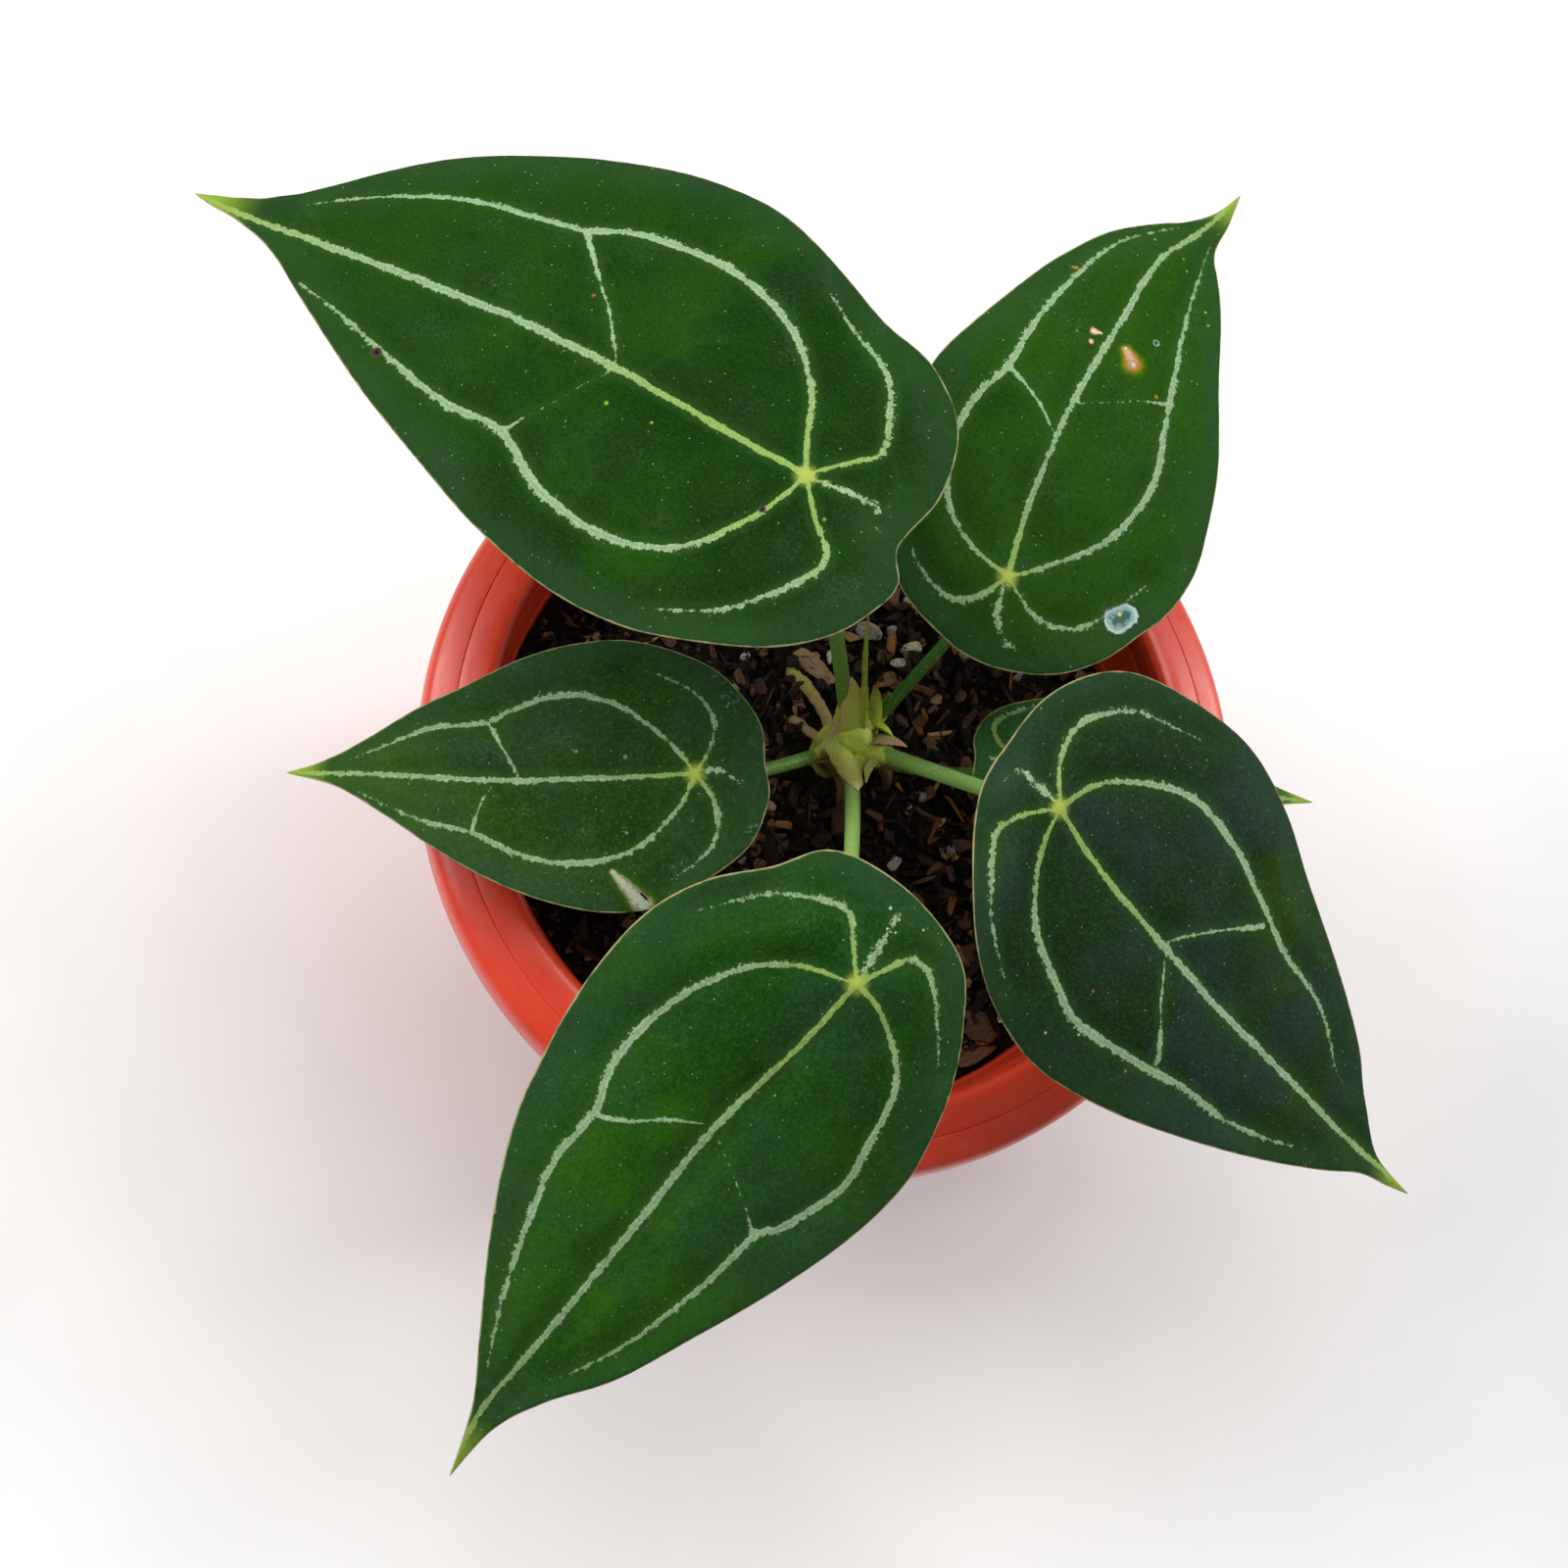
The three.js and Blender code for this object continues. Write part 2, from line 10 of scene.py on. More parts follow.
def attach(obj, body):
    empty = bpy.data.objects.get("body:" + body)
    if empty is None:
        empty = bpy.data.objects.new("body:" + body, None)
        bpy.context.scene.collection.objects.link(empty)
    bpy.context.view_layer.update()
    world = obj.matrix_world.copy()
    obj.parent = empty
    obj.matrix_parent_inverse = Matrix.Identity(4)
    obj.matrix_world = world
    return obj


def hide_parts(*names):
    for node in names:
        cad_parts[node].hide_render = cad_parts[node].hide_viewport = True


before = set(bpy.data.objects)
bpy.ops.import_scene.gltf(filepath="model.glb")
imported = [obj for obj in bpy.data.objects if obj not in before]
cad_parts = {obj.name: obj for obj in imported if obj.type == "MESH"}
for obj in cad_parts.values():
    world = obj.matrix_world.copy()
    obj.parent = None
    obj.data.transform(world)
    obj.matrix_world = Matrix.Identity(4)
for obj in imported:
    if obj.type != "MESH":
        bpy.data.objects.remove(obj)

MM = 0.001
UP = np.array([0.0, 0.0, 1.0])
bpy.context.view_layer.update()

# View: the pot's axis leans from the line of sight, towards a heading in the picture
VIEW_LEAN = math.radians(18)
VIEW_LEAN_HEADING = math.radians(48)
VIEW_DISTANCE = 750
VIEW_OFFSET = (11, 4)
VIEWED_POINT = (0, 0, 134)
LENS = 79.58
SENSOR = 36

# Pot
POT_HEIGHT = 140
RIM_RADIUS = 90
RIM_DEPTH = 11.4
BASE_RADIUS = 59.4
WALL_DRAFT = 0.125
WALL = 1.8
FOOT_STEP = 2.5
FOOT_DISC_RADIUS = 19
FOOT_RING_RADIUS = 51
FLOOR = 2.2
INNER_STEPS = (118, 131)
INNER_STEP = 0.4
DRAIN_COUNT = 6
DRAIN_RADIUS = 4.5
DRAIN_CIRCLE = 35
DRAIN_SIDES = 32
DRAIN_REACH = 5
# A little off the axis, so that no facet of a hole lies along an edge of the pot
DRAIN_START = (1, 0.03, 0)
POT_SEGMENTS = 240

# Potting mix
SOIL_EDGE = 115
SOIL_DOME = 7
SOIL_LUMP = 0.9
SOIL_STEP = 1.3
SOIL_BOTTOM = 5
SOIL_CLEAR = 0.3
SOIL_UNDER_CHIPS = 0.8
SOIL_SEGMENTS = 260

# Plant
BLADE_THICKNESS = 0.8
MARGIN_THICKNESS = 0.4
MARGIN_WAVES = 5
CHANNEL_DEPTH = 1
CHANNEL_WIDTH = 5
CHANNEL_START = 25
BLADE_STEP = 0.85
CROWN_PLACE = (2.5, 5.3)

# Outlines run from the notch behind the junction to the tip, and veins from the junction
# outwards: [along the midrib, across it]
LEAVES = {
    "leaf_1": {
        "junction": (-27.7, 31.6, 232), "heading": 145.4, "droop": 22, "roll": 0,
        "length": 157, "back": 26, "half_width": 52, "fall": (16, 5, 7), "wave": 1.1, "phase": 0.6,
        "left": [
            (-22, 2), (-26, 8.5), (-25.4, 15), (-21.5, 24), (-13, 32.5), (0, 39), (15, 43), (32, 43),
            (52, 39), (70, 33), (91, 25), (112, 15), (130, 6), (143, 2.2), (151, 1.2),
        ],
        "right": [
            (-22, 2), (-23, -11), (-18, -25), (-6, -34.5), (8, -38.5), (24, -45.5), (42, -51.5),
            (60, -52), (76, -48.5), (92, -42), (110, -31), (128, -14), (138, -5.7), (146, -2.6),
            (152, -1.2),
        ],
        "veins": [
            ("midrib", [(0, 0), (31, -2), (62, -3), (92, -2), (119, -0.5), (142, 0.5), (157, 0)]),
            ("main", [
                (0, 0), (5, -8), (11, -18), (23, -28), (41, -34), (62, -33), (73, -28), (80, -27),
                (101, -23), (117, -16), (131, -7),
            ]),
            ("main", [
                (0, 0), (1, 5), (4, 12), (13, 24), (28, 29), (45, 27), (59, 20), (73, 20), (92, 16),
                (108, 12), (119, 10),
            ]),
            ("cross", [(73, -28), (63, -19), (55, -12), (47, -3)]),
            ("faint", [(59, 20), (53, 11), (48, -1)]),
            ("outer", [(0, 0), (-6, -8), (-9, -12), (-7, -18), (0, -28), (12, -34), (24, -41)]),
            ("outer", [(0, 0), (-7, 7), (-12, 11), (-12, 16), (-5, 27), (2, 33), (13, 38)]),
            ("back", [(0, 0), (-7, -1), (-16, -2)]),
            ("faint", [(-16, -2), (-15, 1), (-18, 2)]),
        ],
    },
    "leaf_2": {
        "junction": (21.2, 24.6, 198), "heading": 57.9, "droop": 4, "roll": 4,
        "length": 114, "back": 17, "half_width": 36, "fall": (10, 4, 5), "wave": 0.8, "phase": 2.1,
        "left": [
            (-16, -8), (-17, 3), (-14, 16), (-6, 24.5), (8, 31), (20, 34.5), (34, 36), (48, 33.4),
            (67, 28), (76, 24.4), (84, 20.4), (90, 15.6), (95, 10.8), (99, 6.6), (106, 2.4),
        ],
        "right": [
            (-16, -8), (-10, -19), (-1, -26), (9, -30), (18, -33), (29, -33.5), (39, -31), (52, -26),
            (68, -16.8), (80, -10.9), (86, -7.6), (91, -4.5), (94.5, -2.3), (98.5, -1.2), (105, -1),
        ],
        "veins": [
            ("midrib", [(0, 0), (17, 4), (35, 7), (52, 8), (69, 8), (85, 8), (100, 3), (114, 0)]),
            ("main", [
                (0, 0), (2, 10), (7, 18), (19, 24), (32, 25), (42, 23), (56, 23), (71, 21), (84, 17),
                (96, 8),
            ]),
            ("main", [
                (0, 0), (8, -6), (22, -14), (38, -16), (51, -12), (63, -8), (80, -3), (97, 0),
            ]),
            ("cross", [(42, 22), (38, 14), (34, 8)]),
            ("faint", [(57, -10), (50, -1), (44, 6)]),
            ("outer", [(0, 0), (-7, 3), (-10, 8), (-8, 16), (-4, 21)]),
            ("outer", [(0, 0), (-3, -9), (0, -17), (8, -22), (20, -26)]),
            ("back", [(0, 0), (-7, -2), (-11, -7), (-11, -9)]),
        ],
    },
    "leaf_3": {
        "junction": (-37.7, -12.8, 172), "heading": 177.7, "droop": 13, "roll": 0,
        "length": 85, "back": 15, "half_width": 29, "fall": (8, 3, 4), "wave": 0.8, "phase": 4.0,
        "left": [
            (-14, -3), (-15, 4), (-11.5, 14), (-3, 21.5), (7, 27), (18, 28.5), (30, 26.5),
            (42, 22), (53, 16), (63, 9.5), (74, 3.2),
        ],
        "right": [
            (-14, -3), (-12.5, -12), (-5, -21), (4, -26), (15, -29), (26, -27.8), (37, -24),
            (48, -18), (58, -13), (68, -6.8), (77, -2.2),
        ],
        "veins": [
            ("midrib", [(0, 0), (16, 1), (39, 2), (60, 1), (85, 0)]),
            ("main", [
                (0, 0), (5, -6), (14, -13), (22, -16), (30, -16), (38, -13), (44, -10), (55, -9),
                (65, -5), (73, -2),
            ]),
            ("main", [
                (0, 0), (3, 7), (12, 16), (24, 19), (36, 17), (45, 13), (54, 11), (64, 7), (70, 4),
            ]),
            ("cross", [(43, -10), (40, -5), (36, 1)]),
            ("cross", [(45, 12), (43, 6), (41, 3)]),
            ("outer", [(0, 0), (-3, -6), (-3, -13), (3, -19), (13, -23)]),
            ("outer", [(0, 0), (-4, 5), (-5, 12), (-2, 17), (5, 22)]),
            ("back", [(0, 0), (-5, -1), (-10, 2)]),
        ],
    },
    "leaf_4": {
        "junction": (-14.2, -62.6, 214), "heading": -125.7, "droop": 22, "roll": -12,
        "length": 127, "back": 20, "half_width": 40, "fall": (13, 5, 6), "wave": 1.0, "phase": 1.2,
        "left": [
            (-19.5, -10), (-19, 3), (-14.5, 15.5), (-5, 23), (4, 28), (14, 31.5), (26, 34),
            (40, 32.5), (57, 27), (76, 19), (91, 12.5), (104, 3.8), (114, 0.2),
        ],
        "right": [
            (-19.5, -10), (-16.5, -19.5), (-8, -26), (1, -34), (13, -39.5), (28, -40.5),
            (44, -38.5), (62, -34), (81, -25), (99, -14), (110, -7), (118, -3.4),
        ],
        "veins": [
            ("midrib", [(0, 0), (17, -1), (39, -4), (60, -4), (93, -4), (112, -4), (127, 0)]),
            ("main", [
                (0, 0), (4, -11), (12, -20), (26, -26), (40, -27), (50, -24), (63, -24), (80, -19),
                (93, -14), (105, -8),
            ]),
            ("main", [
                (0, 0), (2, 8), (11, 19), (26, 23), (35, 24), (48, 19), (51, 16), (66, 14), (83, 10),
                (97, 4),
            ]),
            ("cross", [(50, -23), (47, -18), (42, -12), (39, -6)]),
            ("faint", [(51, 15), (46, 8), (40, -2)]),
            ("outer", [(0, 0), (-7, -6), (-10, -9), (-9, -14), (-4, -23), (7, -32)]),
            ("outer", [(0, 0), (-7, 4), (-10, 7), (-9, 12), (-2, 19), (4, 24)]),
            ("back", [(0, 0), (-15, -1)]),
        ],
    },
    "leaf_5": {
        "junction": (28.1, -25, 208), "heading": -34.5, "droop": 23, "roll": 0,
        "length": 132, "back": 15, "half_width": 41, "fall": (12, 4, 6), "wave": 1.0, "phase": 3.1,
        "left": [
            (-15, 3), (-14, 16), (-8.5, 27), (1, 35), (16, 40), (33, 42), (49, 38), (63, 30.5),
            (82, 21), (96, 13), (107, 4.6), (118, 0),
        ],
        "right": [
            (-15, 3), (-14, -8), (-7, -20), (4, -31), (18, -37.5), (34, -39.5), (52, -36),
            (70, -29.5), (88, -21.5), (104, -13), (115, -6.2), (124, -3),
        ],
        "veins": [
            ("midrib", [(0, 0), (19, -3), (38, -4), (59, -5), (84, -4), (105, -3), (132, 0)]),
            ("main", [
                (0, 0), (5, 10), (16, 19), (28, 24), (42, 23), (54, 19), (65, 15), (80, 13), (94, 6),
                (99, 5),
            ]),
            ("main", [
                (0, 0), (3, -9), (12, -20), (26, -26), (34, -28), (51, -25), (63, -22), (78, -20),
                (92, -15), (100, -11),
            ]),
            ("cross", [(57, 15), (46, 5), (39, -3)]),
            ("cross", [(54, -22), (46, -14), (41, -6)]),
            ("outer", [(0, 0), (-5, 8), (-5, 18), (4, 28), (14, 32), (22, 35)]),
            ("outer", [(0, 0), (-5, -6), (-7, -11), (-5, -16), (3, -25), (15, -32)]),
            ("back", [(0, 0), (-11, 1)]),
            ("faint", [(-11, 1), (-12, -3)]),
        ],
    },
    "leaf_6": {
        "junction": (31.9, -4.6, 165), "heading": -1.5, "droop": 7, "roll": 0,
        "length": 73, "back": 10, "half_width": 19, "fall": (5, 2, 3), "wave": 0.6, "phase": 5.2,
        "left": [
            (-8.5, 0), (-8.6, 4.5), (-5.5, 9.5), (1, 13), (12, 15.8), (24, 16), (37, 12.5),
            (49, 7.4), (60, 2.8),
        ],
        "right": [
            (-8.5, 0), (-8.6, -5), (-5, -11.5), (4, -16.5), (16, -18.5), (29, -17), (41, -12.6),
            (52, -7), (62, -2.4),
        ],
        "veins": [
            ("midrib", [(0, 0), (20, -1), (45, -1), (73, 0)]),
            ("main", [(0, 0), (3, 5), (12, 10), (24, 11), (37, 8), (50, 4), (58, 2)]),
            ("main", [(0, 0), (3, -6), (14, -12), (28, -12), (42, -8), (54, -3)]),
            ("cross", [(37, 8), (34, 4), (31, -1)]),
            ("cross", [(38, -9), (35, -5), (32, -1)]),
            ("outer", [(0, 0), (-4, 4), (-4, 8), (3, 12), (9, 14)]),
            ("outer", [(0, 0), (-4, -5), (-3, -10), (4, -14), (11, -17)]),
            ("back", [(0, 0), (-6, 0)]),
        ],
    },
}

# Half widths at a vein's start, middle and end, shares of its length and how whole it is there, its
# relief, how ragged its inner and outer edges are, and how far it stays yellow-green as a share of
# its leaf's reach
VEIN_KINDS = {
    "midrib": {
        "widths": (0.6, 0.88, 0.7), "whole": ((0, 0.95, 1), (1, 1, 0.2)),
        "relief": 1.0, "ragged": (0.8, 0.8), "young": 1.0,
    },
    "main": {
        "widths": (0.5, 0.96, 0.58), "whole": ((0, 0.72, 1), (1, 1, 0.2)),
        "relief": 0.7, "ragged": (0.5, 1.4), "young": 0.45,
    },
    "outer": {
        "widths": (0.42, 0.76, 0.45), "whole": ((0, 0.42, 1), (1, 1, 0.2)),
        "relief": 0.5, "ragged": (0.6, 1.6), "young": 0.4,
    },
    "back": {
        "widths": (0.4, 0.85, 0.9), "whole": ((0, 0.4, 1), (1, 1, 0.2)),
        "relief": 0.3, "ragged": (1.7, 1.7), "young": 0.08,
    },
    "cross": {
        "widths": (0.8, 0.32, 0.35), "whole": ((0, 0.9, 1), (1, 1, 0.2)),
        "relief": 0.3, "ragged": (0.7, 0.7), "young": 1.0,
    },
    "faint": {
        "widths": (0.6, 0.25, 0.25), "whole": ((0, 0.25, 0.6, 1), (1, 0.45, 0.4, 0.6)),
        "relief": 0.15, "ragged": (0.8, 0.8), "young": 0.6,
    },
}

# How fresh and blue each blade looks, how far its midrib stays yellow-green, and its tint. The tint is
# partly the blade's own colour and partly painted light: leaf_3's and leaf_6's are brighter to make up
# for the shade on them.
LEAF_LOOKS = {
    "leaf_1": {"fresh": 0.12, "blue": 0.45, "young": 0.45, "tint": (0.45, 0.6, 0.35)},
    "leaf_2": {"fresh": 0.2, "blue": 0.35, "young": 0.22, "tint": (0.6, 0.76, 0.45)},
    "leaf_3": {"fresh": -0.15, "blue": 0.7, "young": 0.2, "tint": (1.27, 1.08, 1.03)},
    "leaf_4": {"fresh": 0.02, "blue": 0.6, "young": 0.42, "tint": (0.85, 1.0, 0.8)},
    "leaf_5": {"fresh": -0.25, "blue": 0.85, "young": 0.4, "tint": (0.95, 0.66, 1.1)},
    "leaf_6": {"fresh": 0.1, "blue": 0.5, "young": 0.5, "tint": (2.6, 2.3, 2.6)},
}

# Marks that a blade has picked up: the kind, and its place and radius, or those of a streak's ends
MARKS = {
    "leaf_1": [
        ("brown", (60.8, -14.4, 0.55)), ("dark", (93.3, 16.5, 1.0)), ("dark", (3.3, 10.1, 0.6)),
        ("yellow", (43.4, 5.4, 0.45)), ("yellow", (32.9, 4.8, 0.35)), ("yellow", (-7.8, 5.6, 0.35)),
    ],
    "leaf_2": [
        ("halo", (60.8, 4, 1.5), (59.2, 1.6, 2.8)), ("lesion", (61, 4.3, 0.65), (59.2, 1.6, 1.65)),
        ("speck", (58.9, 1.2, 0.75)), ("speck", (61.1, 4.3, 0.4)),
        ("pale", (61.2, 10.2, 0.25), (60.3, 11.9, 0.85)), ("pale", (57.8, 11.2, 0.62)),
        ("ring", (67.3, -0.7, 0.8)), ("crust", (7.9, -24.1, 2.7), (10.8, -25.6, 2.4)),
        ("film", (8.1, -24.2, 2.15), (10.6, -25.4, 1.85)), ("speck", (9.8, -24, 0.5)),
        ("orange", (71.6, 22.7, 0.25), (72.1, 21.8, 0.45)), ("orange", (56, -6.6, 0.5)),
        ("yellow", (89.5, 11, 0.3)), ("yellow", (89.3, 3.7, 0.25)), ("yellow", (87.2, 1.7, 0.3)),
        ("yellow", (81.4, -6.3, 0.3)), ("yellow", (78.8, -8.2, 0.3)), ("yellow", (57.7, 15, 0.25)),
    ],
    "leaf_3": [
        ("sallow", (15.6, 21, 1.6), (9.8, 26.2, 3.4)), ("scar", (16, 20.4, 0.6), (9.3, 27, 2.1)),
        ("slit", (9.9, 24.6, 0.28), (8.8, 25.6, 0.28)), ("beige", (24.5, -4.1, 0.4)),
        ("beige", (14.4, -3.2, 0.45)), ("dust", (-6.4, -16, 3.4)), ("dust", (3.1, 18.2, 3.0)),
        ("dust", (-12.5, 11.3, 3.0)), ("dust", (-4.1, -21.3, 2.6)), ("dust", (13.8, 13.1, 2.2)),
    ],
    "leaf_4": [
        ("white", (-15.2, -2.9, 0.35)), ("white", (-14.4, -0.2, 0.3)), ("white", (-11.8, -1.3, 0.25)),
        ("white", (-12.1, 0.5, 0.25)), ("white", (-15.5, 5, 0.25)),
    ],
    "leaf_5": [
        ("brown", (31.1, -21.6, 0.4)), ("brown", (49.3, -28.1, 0.4)), ("white", (29, -33.9, 0.3)),
        ("white", (35.5, -29.4, 0.25)),
    ],
    "leaf_6": [],
}

# Petioles of leaf 1 to 6: each one's root on the crown, the heading and rise that it leaves at, how
# long its bends are at the crown and under the blade, and its widths there
PETIOLES = [
    {"root": (2, 8, 137), "leaves": (133, 70), "bends": (26, 30), "widths": (3.3, 3.1)},
    {"root": (6.2, 7.6, 136), "leaves": (45, 63), "bends": (20, 18), "widths": (2.7, 2.4)},
    {"root": (-0.4, 3.4, 133.5), "leaves": (205, 30), "bends": (18, 14), "widths": (3.1, 2.8)},
    {"root": (3, 1.6, 135), "leaves": (259, 51), "bends": (36, 20), "widths": (3.5, 2.7)},
    {"root": (6, 3.9, 135.5), "leaves": (-44, 57), "bends": (26, 11), "widths": (3.7, 2.9)},
    {"root": (6, 3.6, 129.5), "leaves": (-15, 4), "bends": (18, 16), "widths": (2.6, 2.3)},
]
JOINT_LENGTH = 7
JOINT_SWELL = 0.35


# Shaders
def rgb(red, green, blue):
    """A colour as a screen shows it, 0 to 255, in the renderer's linear values."""
    shown = np.array([red, green, blue]) / 255
    linear = np.where(shown <= 0.04045, shown / 12.92, ((shown + 0.055) / 1.055) ** 2.4)
    return (*linear.tolist(), 1.0)


class Number:
    """A number socket, so that sums of sockets are written as sums."""

    def __init__(self, shader, socket):
        self.shader = shader
        self.socket = socket

    def __add__(self, other):
        return self.shader.math("ADD", self, other)

    def __sub__(self, other):
        return self.shader.math("SUBTRACT", self, other)

    def __rsub__(self, other):
        return self.shader.math("SUBTRACT", other, self)

    def __mul__(self, other):
        return self.shader.math("MULTIPLY", self, other)

    def __truediv__(self, other):
        return self.shader.math("DIVIDE", self, other)


class Shader:
    """A material's nodes, built by short calls. Numbers come back as Number, and colours and vectors
    as sockets. Sizes are in millimetres."""

    def __init__(self, name):
        self.material = bpy.data.materials.new(name)
        self.material.use_nodes = True
        self.nodes = self.material.node_tree.nodes
        self.links = self.material.node_tree.links
        self.nodes.clear()
        coordinates = self.node("TexCoord", {})
        self.place = self.vectors("SCALE", coordinates.outputs["Object"], 1 / MM, "Scale")[0]

    def connect(self, socket, value):
        if isinstance(value, Number):
            value = value.socket
        if isinstance(value, bpy.types.NodeSocket):
            self.links.new(value, socket)
        else:
            socket.default_value = value

    def node(self, kind, inputs, **settings):
        """A node with these settings and with these values or sockets at its inputs."""
        node = self.nodes.new("ShaderNode" + kind)
        for name, value in settings.items():
            setattr(node, name, value)
        for key, value in inputs.items():
            self.connect(node.inputs[key], value)
        return node

    def math(self, operation, first, second):
        return Number(self, self.node("Math", {0: first, 1: second}, operation=operation).outputs[0])

    def vectors(self, operation, first, second, key=1):
        """The outputs of one operation on two vectors, or on a vector and its Scale."""
        return self.node("VectorMath", {0: first, key: second}, operation=operation).outputs

    def stretched(self, vector, factors):
        return self.vectors("MULTIPLY", vector, factors)[0]

    def distance(self, vector, point):
        return Number(self, self.vectors("DISTANCE", vector, point)["Value"])

    def from_streak(self, vector, start, end):
        """The distance to a straight streak, and the share of its length where it is nearest."""
        step = np.subtract(end, start)
        offset = self.vectors("SUBTRACT", vector, start)[0]
        share = self.vectors("DOT_PRODUCT", offset, step / (step @ step))["Value"]
        kept = self.math("MINIMUM", self.math("MAXIMUM", share, 0.0), 1.0)
        return self.distance(offset, self.vectors("SCALE", step, kept, "Scale")[0]), kept

    def number(self, name):
        return Number(self, self.node("Attribute", {}, attribute_name=name).outputs["Fac"])

    def vector(self, name):
        return self.node("Attribute", {}, attribute_name=name).outputs["Vector"]

    def fade(self, value, start, end, low=0.0, high=1.0):
        """Goes smoothly from low at start to high at end."""
        inputs = dict(enumerate((value, start, end, low, high)))
        return Number(self, self.node("MapRange", inputs, interpolation_type="SMOOTHSTEP").outputs[0])

    def mix(self, factor, first, second, blend="MIX"):
        inputs = {0: factor, 6: first, 7: second}
        return self.node("Mix", inputs, data_type="RGBA", blend_type=blend).outputs[2]

    def ramp(self, value, stops):
        node = self.node("ValToRGB", {0: value})
        elements = node.color_ramp.elements
        elements[0].position, elements[0].color = stops[0]
        elements[1].position, elements[1].color = stops[-1]
        for position, colour in stops[1:-1]:
            elements.new(position).color = colour
        return node.outputs[0]

    def noise(self, vector, size, detail=2.0, rough=0.5):
        inputs = {"Vector": vector, "Scale": 1 / size, "Detail": detail, "Roughness": rough}
        return Number(self, self.node("TexNoise", inputs).outputs[0])

    def cells(self, vector, size, feature="F1"):
        """A cell pattern's distance and, for F1, its colour by cell."""
        node = self.node("TexVoronoi", {"Vector": vector, "Scale": 1 / size}, feature=feature)
        return Number(self, node.outputs["Distance"]), node.outputs.get("Color")

    def dots(self, vector, spacing, size, share):
        """Small dots in a share of the cells of a pattern, as a mask."""
        distance, colour = self.cells(vector, spacing)
        split = self.node("SeparateColor", {0: colour})
        chosen = self.fade(split.outputs[0], share, share - 0.01)
        reach = self.math("MULTIPLY", split.outputs[1], size / spacing)
        return chosen * self.fade(distance - reach, 0.02, -0.02)

    def bump(self, height, depth, strength, below=None):
        """Surface relief from a 0 to 1 height, its depth in millimetres."""
        node = self.node("Bump", {"Distance": depth * MM, "Strength": strength, "Height": height})
        if below is not None:
            self.connect(node.inputs["Normal"], below)
        return node.outputs[0]

    def finish(self, colour, roughness, normal=None, **uniform):
        """Ends in the surface shader; uniform values go straight on its own sockets."""
        inputs = {"Base Color": colour, "Roughness": roughness}
        inputs |= {name.replace("_", " "): value for name, value in uniform.items()}
        shader = self.node("BsdfPrincipled", inputs)
        if normal is not None:
            self.connect(shader.inputs["Normal"], normal)
        self.node("OutputMaterial", {"Surface": shader.outputs[0]})
        return self.material


# Meshes
def put(name, data):
    """An object with this data, in the scene."""
    made = bpy.data.objects.new(name, data)
    bpy.context.scene.collection.objects.link(made)
    return made


def make_piece(name, points, faces, material, stands_for=(), smooth=True, values=None):
    """A mesh object from points in millimetres, riding on the one body."""
    mesh = bpy.data.meshes.new(name)
    mesh.from_pydata((np.asarray(points) * MM).tolist(), [], np.asarray(faces).tolist())
    for key, numbers in (values or {}).items():
        is_vector = numbers.ndim == 2
        attribute = mesh.attributes.new(key, "FLOAT_VECTOR" if is_vector else "FLOAT", "POINT")
        flat = numbers.astype(np.float32).ravel()
        attribute.data.foreach_set("vector" if is_vector else "value", flat)
    if smooth:
        mesh.shade_smooth()
    mesh.materials.append(material)
    piece = put(name, mesh)
    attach(piece, "root")
    if stands_for:
        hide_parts(*stands_for)
    return piece


def joined(parts):
    """Several (points, triangles, values) meshes as one."""
    points = np.vstack([part[0] for part in parts])
    starts = np.cumsum([0] + [len(part[0]) for part in parts[:-1]])
    faces = np.vstack([part[1] + start for part, start in zip(parts, starts)])
    values = {key: np.concatenate([part[2][key] for part in parts]) for key in parts[0][2]}
    return points, faces, values


def smooth_noise(points, size, octaves=2, seed=0.0):
    """Noise of about -1 to 1 at each point, with features of that size."""
    shifted = np.asarray(points) / size + 31.7 * seed
    return np.array([noise.fractal(Vector(point), 1.0, 2.0, octaves) for point in shifted])


def unit(vectors):
    return vectors / np.linalg.norm(vectors, axis=-1, keepdims=True)


def wave_noise(share, waves, octaves, place=(0, 0), seed=0.0):
    """Noise along a line with about that many waves over its length."""
    spots = [(along * waves, *place) for along in share]
    return smooth_noise(np.array(spots), 1, octaves, seed)


def direction(heading, rise):
    turn = math.radians(heading)
    lift = math.radians(rise)
    return np.array([math.cos(turn) * math.cos(lift), math.sin(turn) * math.cos(lift), math.sin(lift)])


def resampled(line, step):
    """The same line with evenly spaced places, about one step apart."""
    lengths = np.concatenate([[0], np.cumsum(np.linalg.norm(np.diff(line, axis=0), axis=1))])
    count = max(2, round(lengths[-1] / step))
    wanted = np.linspace(0, lengths[-1], count + 1)
    return np.stack([np.interp(wanted, lengths, column) for column in line.T], 1)


def centres(line, share):
    """The places at shares of the length of an evenly spaced line."""
    steps = np.linspace(0, 1, len(line))
    return np.stack([np.interp(share, steps, column) for column in line.T], 1)


SPLINE_PLACES = 24
BEZIER_PLACES = 200


def spline(points, step):
    """A Catmull-Rom curve through the points."""
    knots = np.array(points, float)
    ends = np.vstack([knots[:1], knots, knots[-1:]])
    t = np.linspace(0, 1, SPLINE_PLACES, endpoint=False)[:, None]
    parts = []
    for before, start, end, after in zip(ends[:-3], ends[1:-2], ends[2:-1], ends[3:]):
        leave = (end - before) / 2
        arrive = (after - start) / 2
        cubic = (2 * start - 2 * end + leave + arrive) * t**3
        square = (-3 * start + 3 * end - 2 * leave - arrive) * t**2
        parts.append(cubic + square + leave * t + start)
    return resampled(np.vstack([*parts, knots[-1:]]), step)


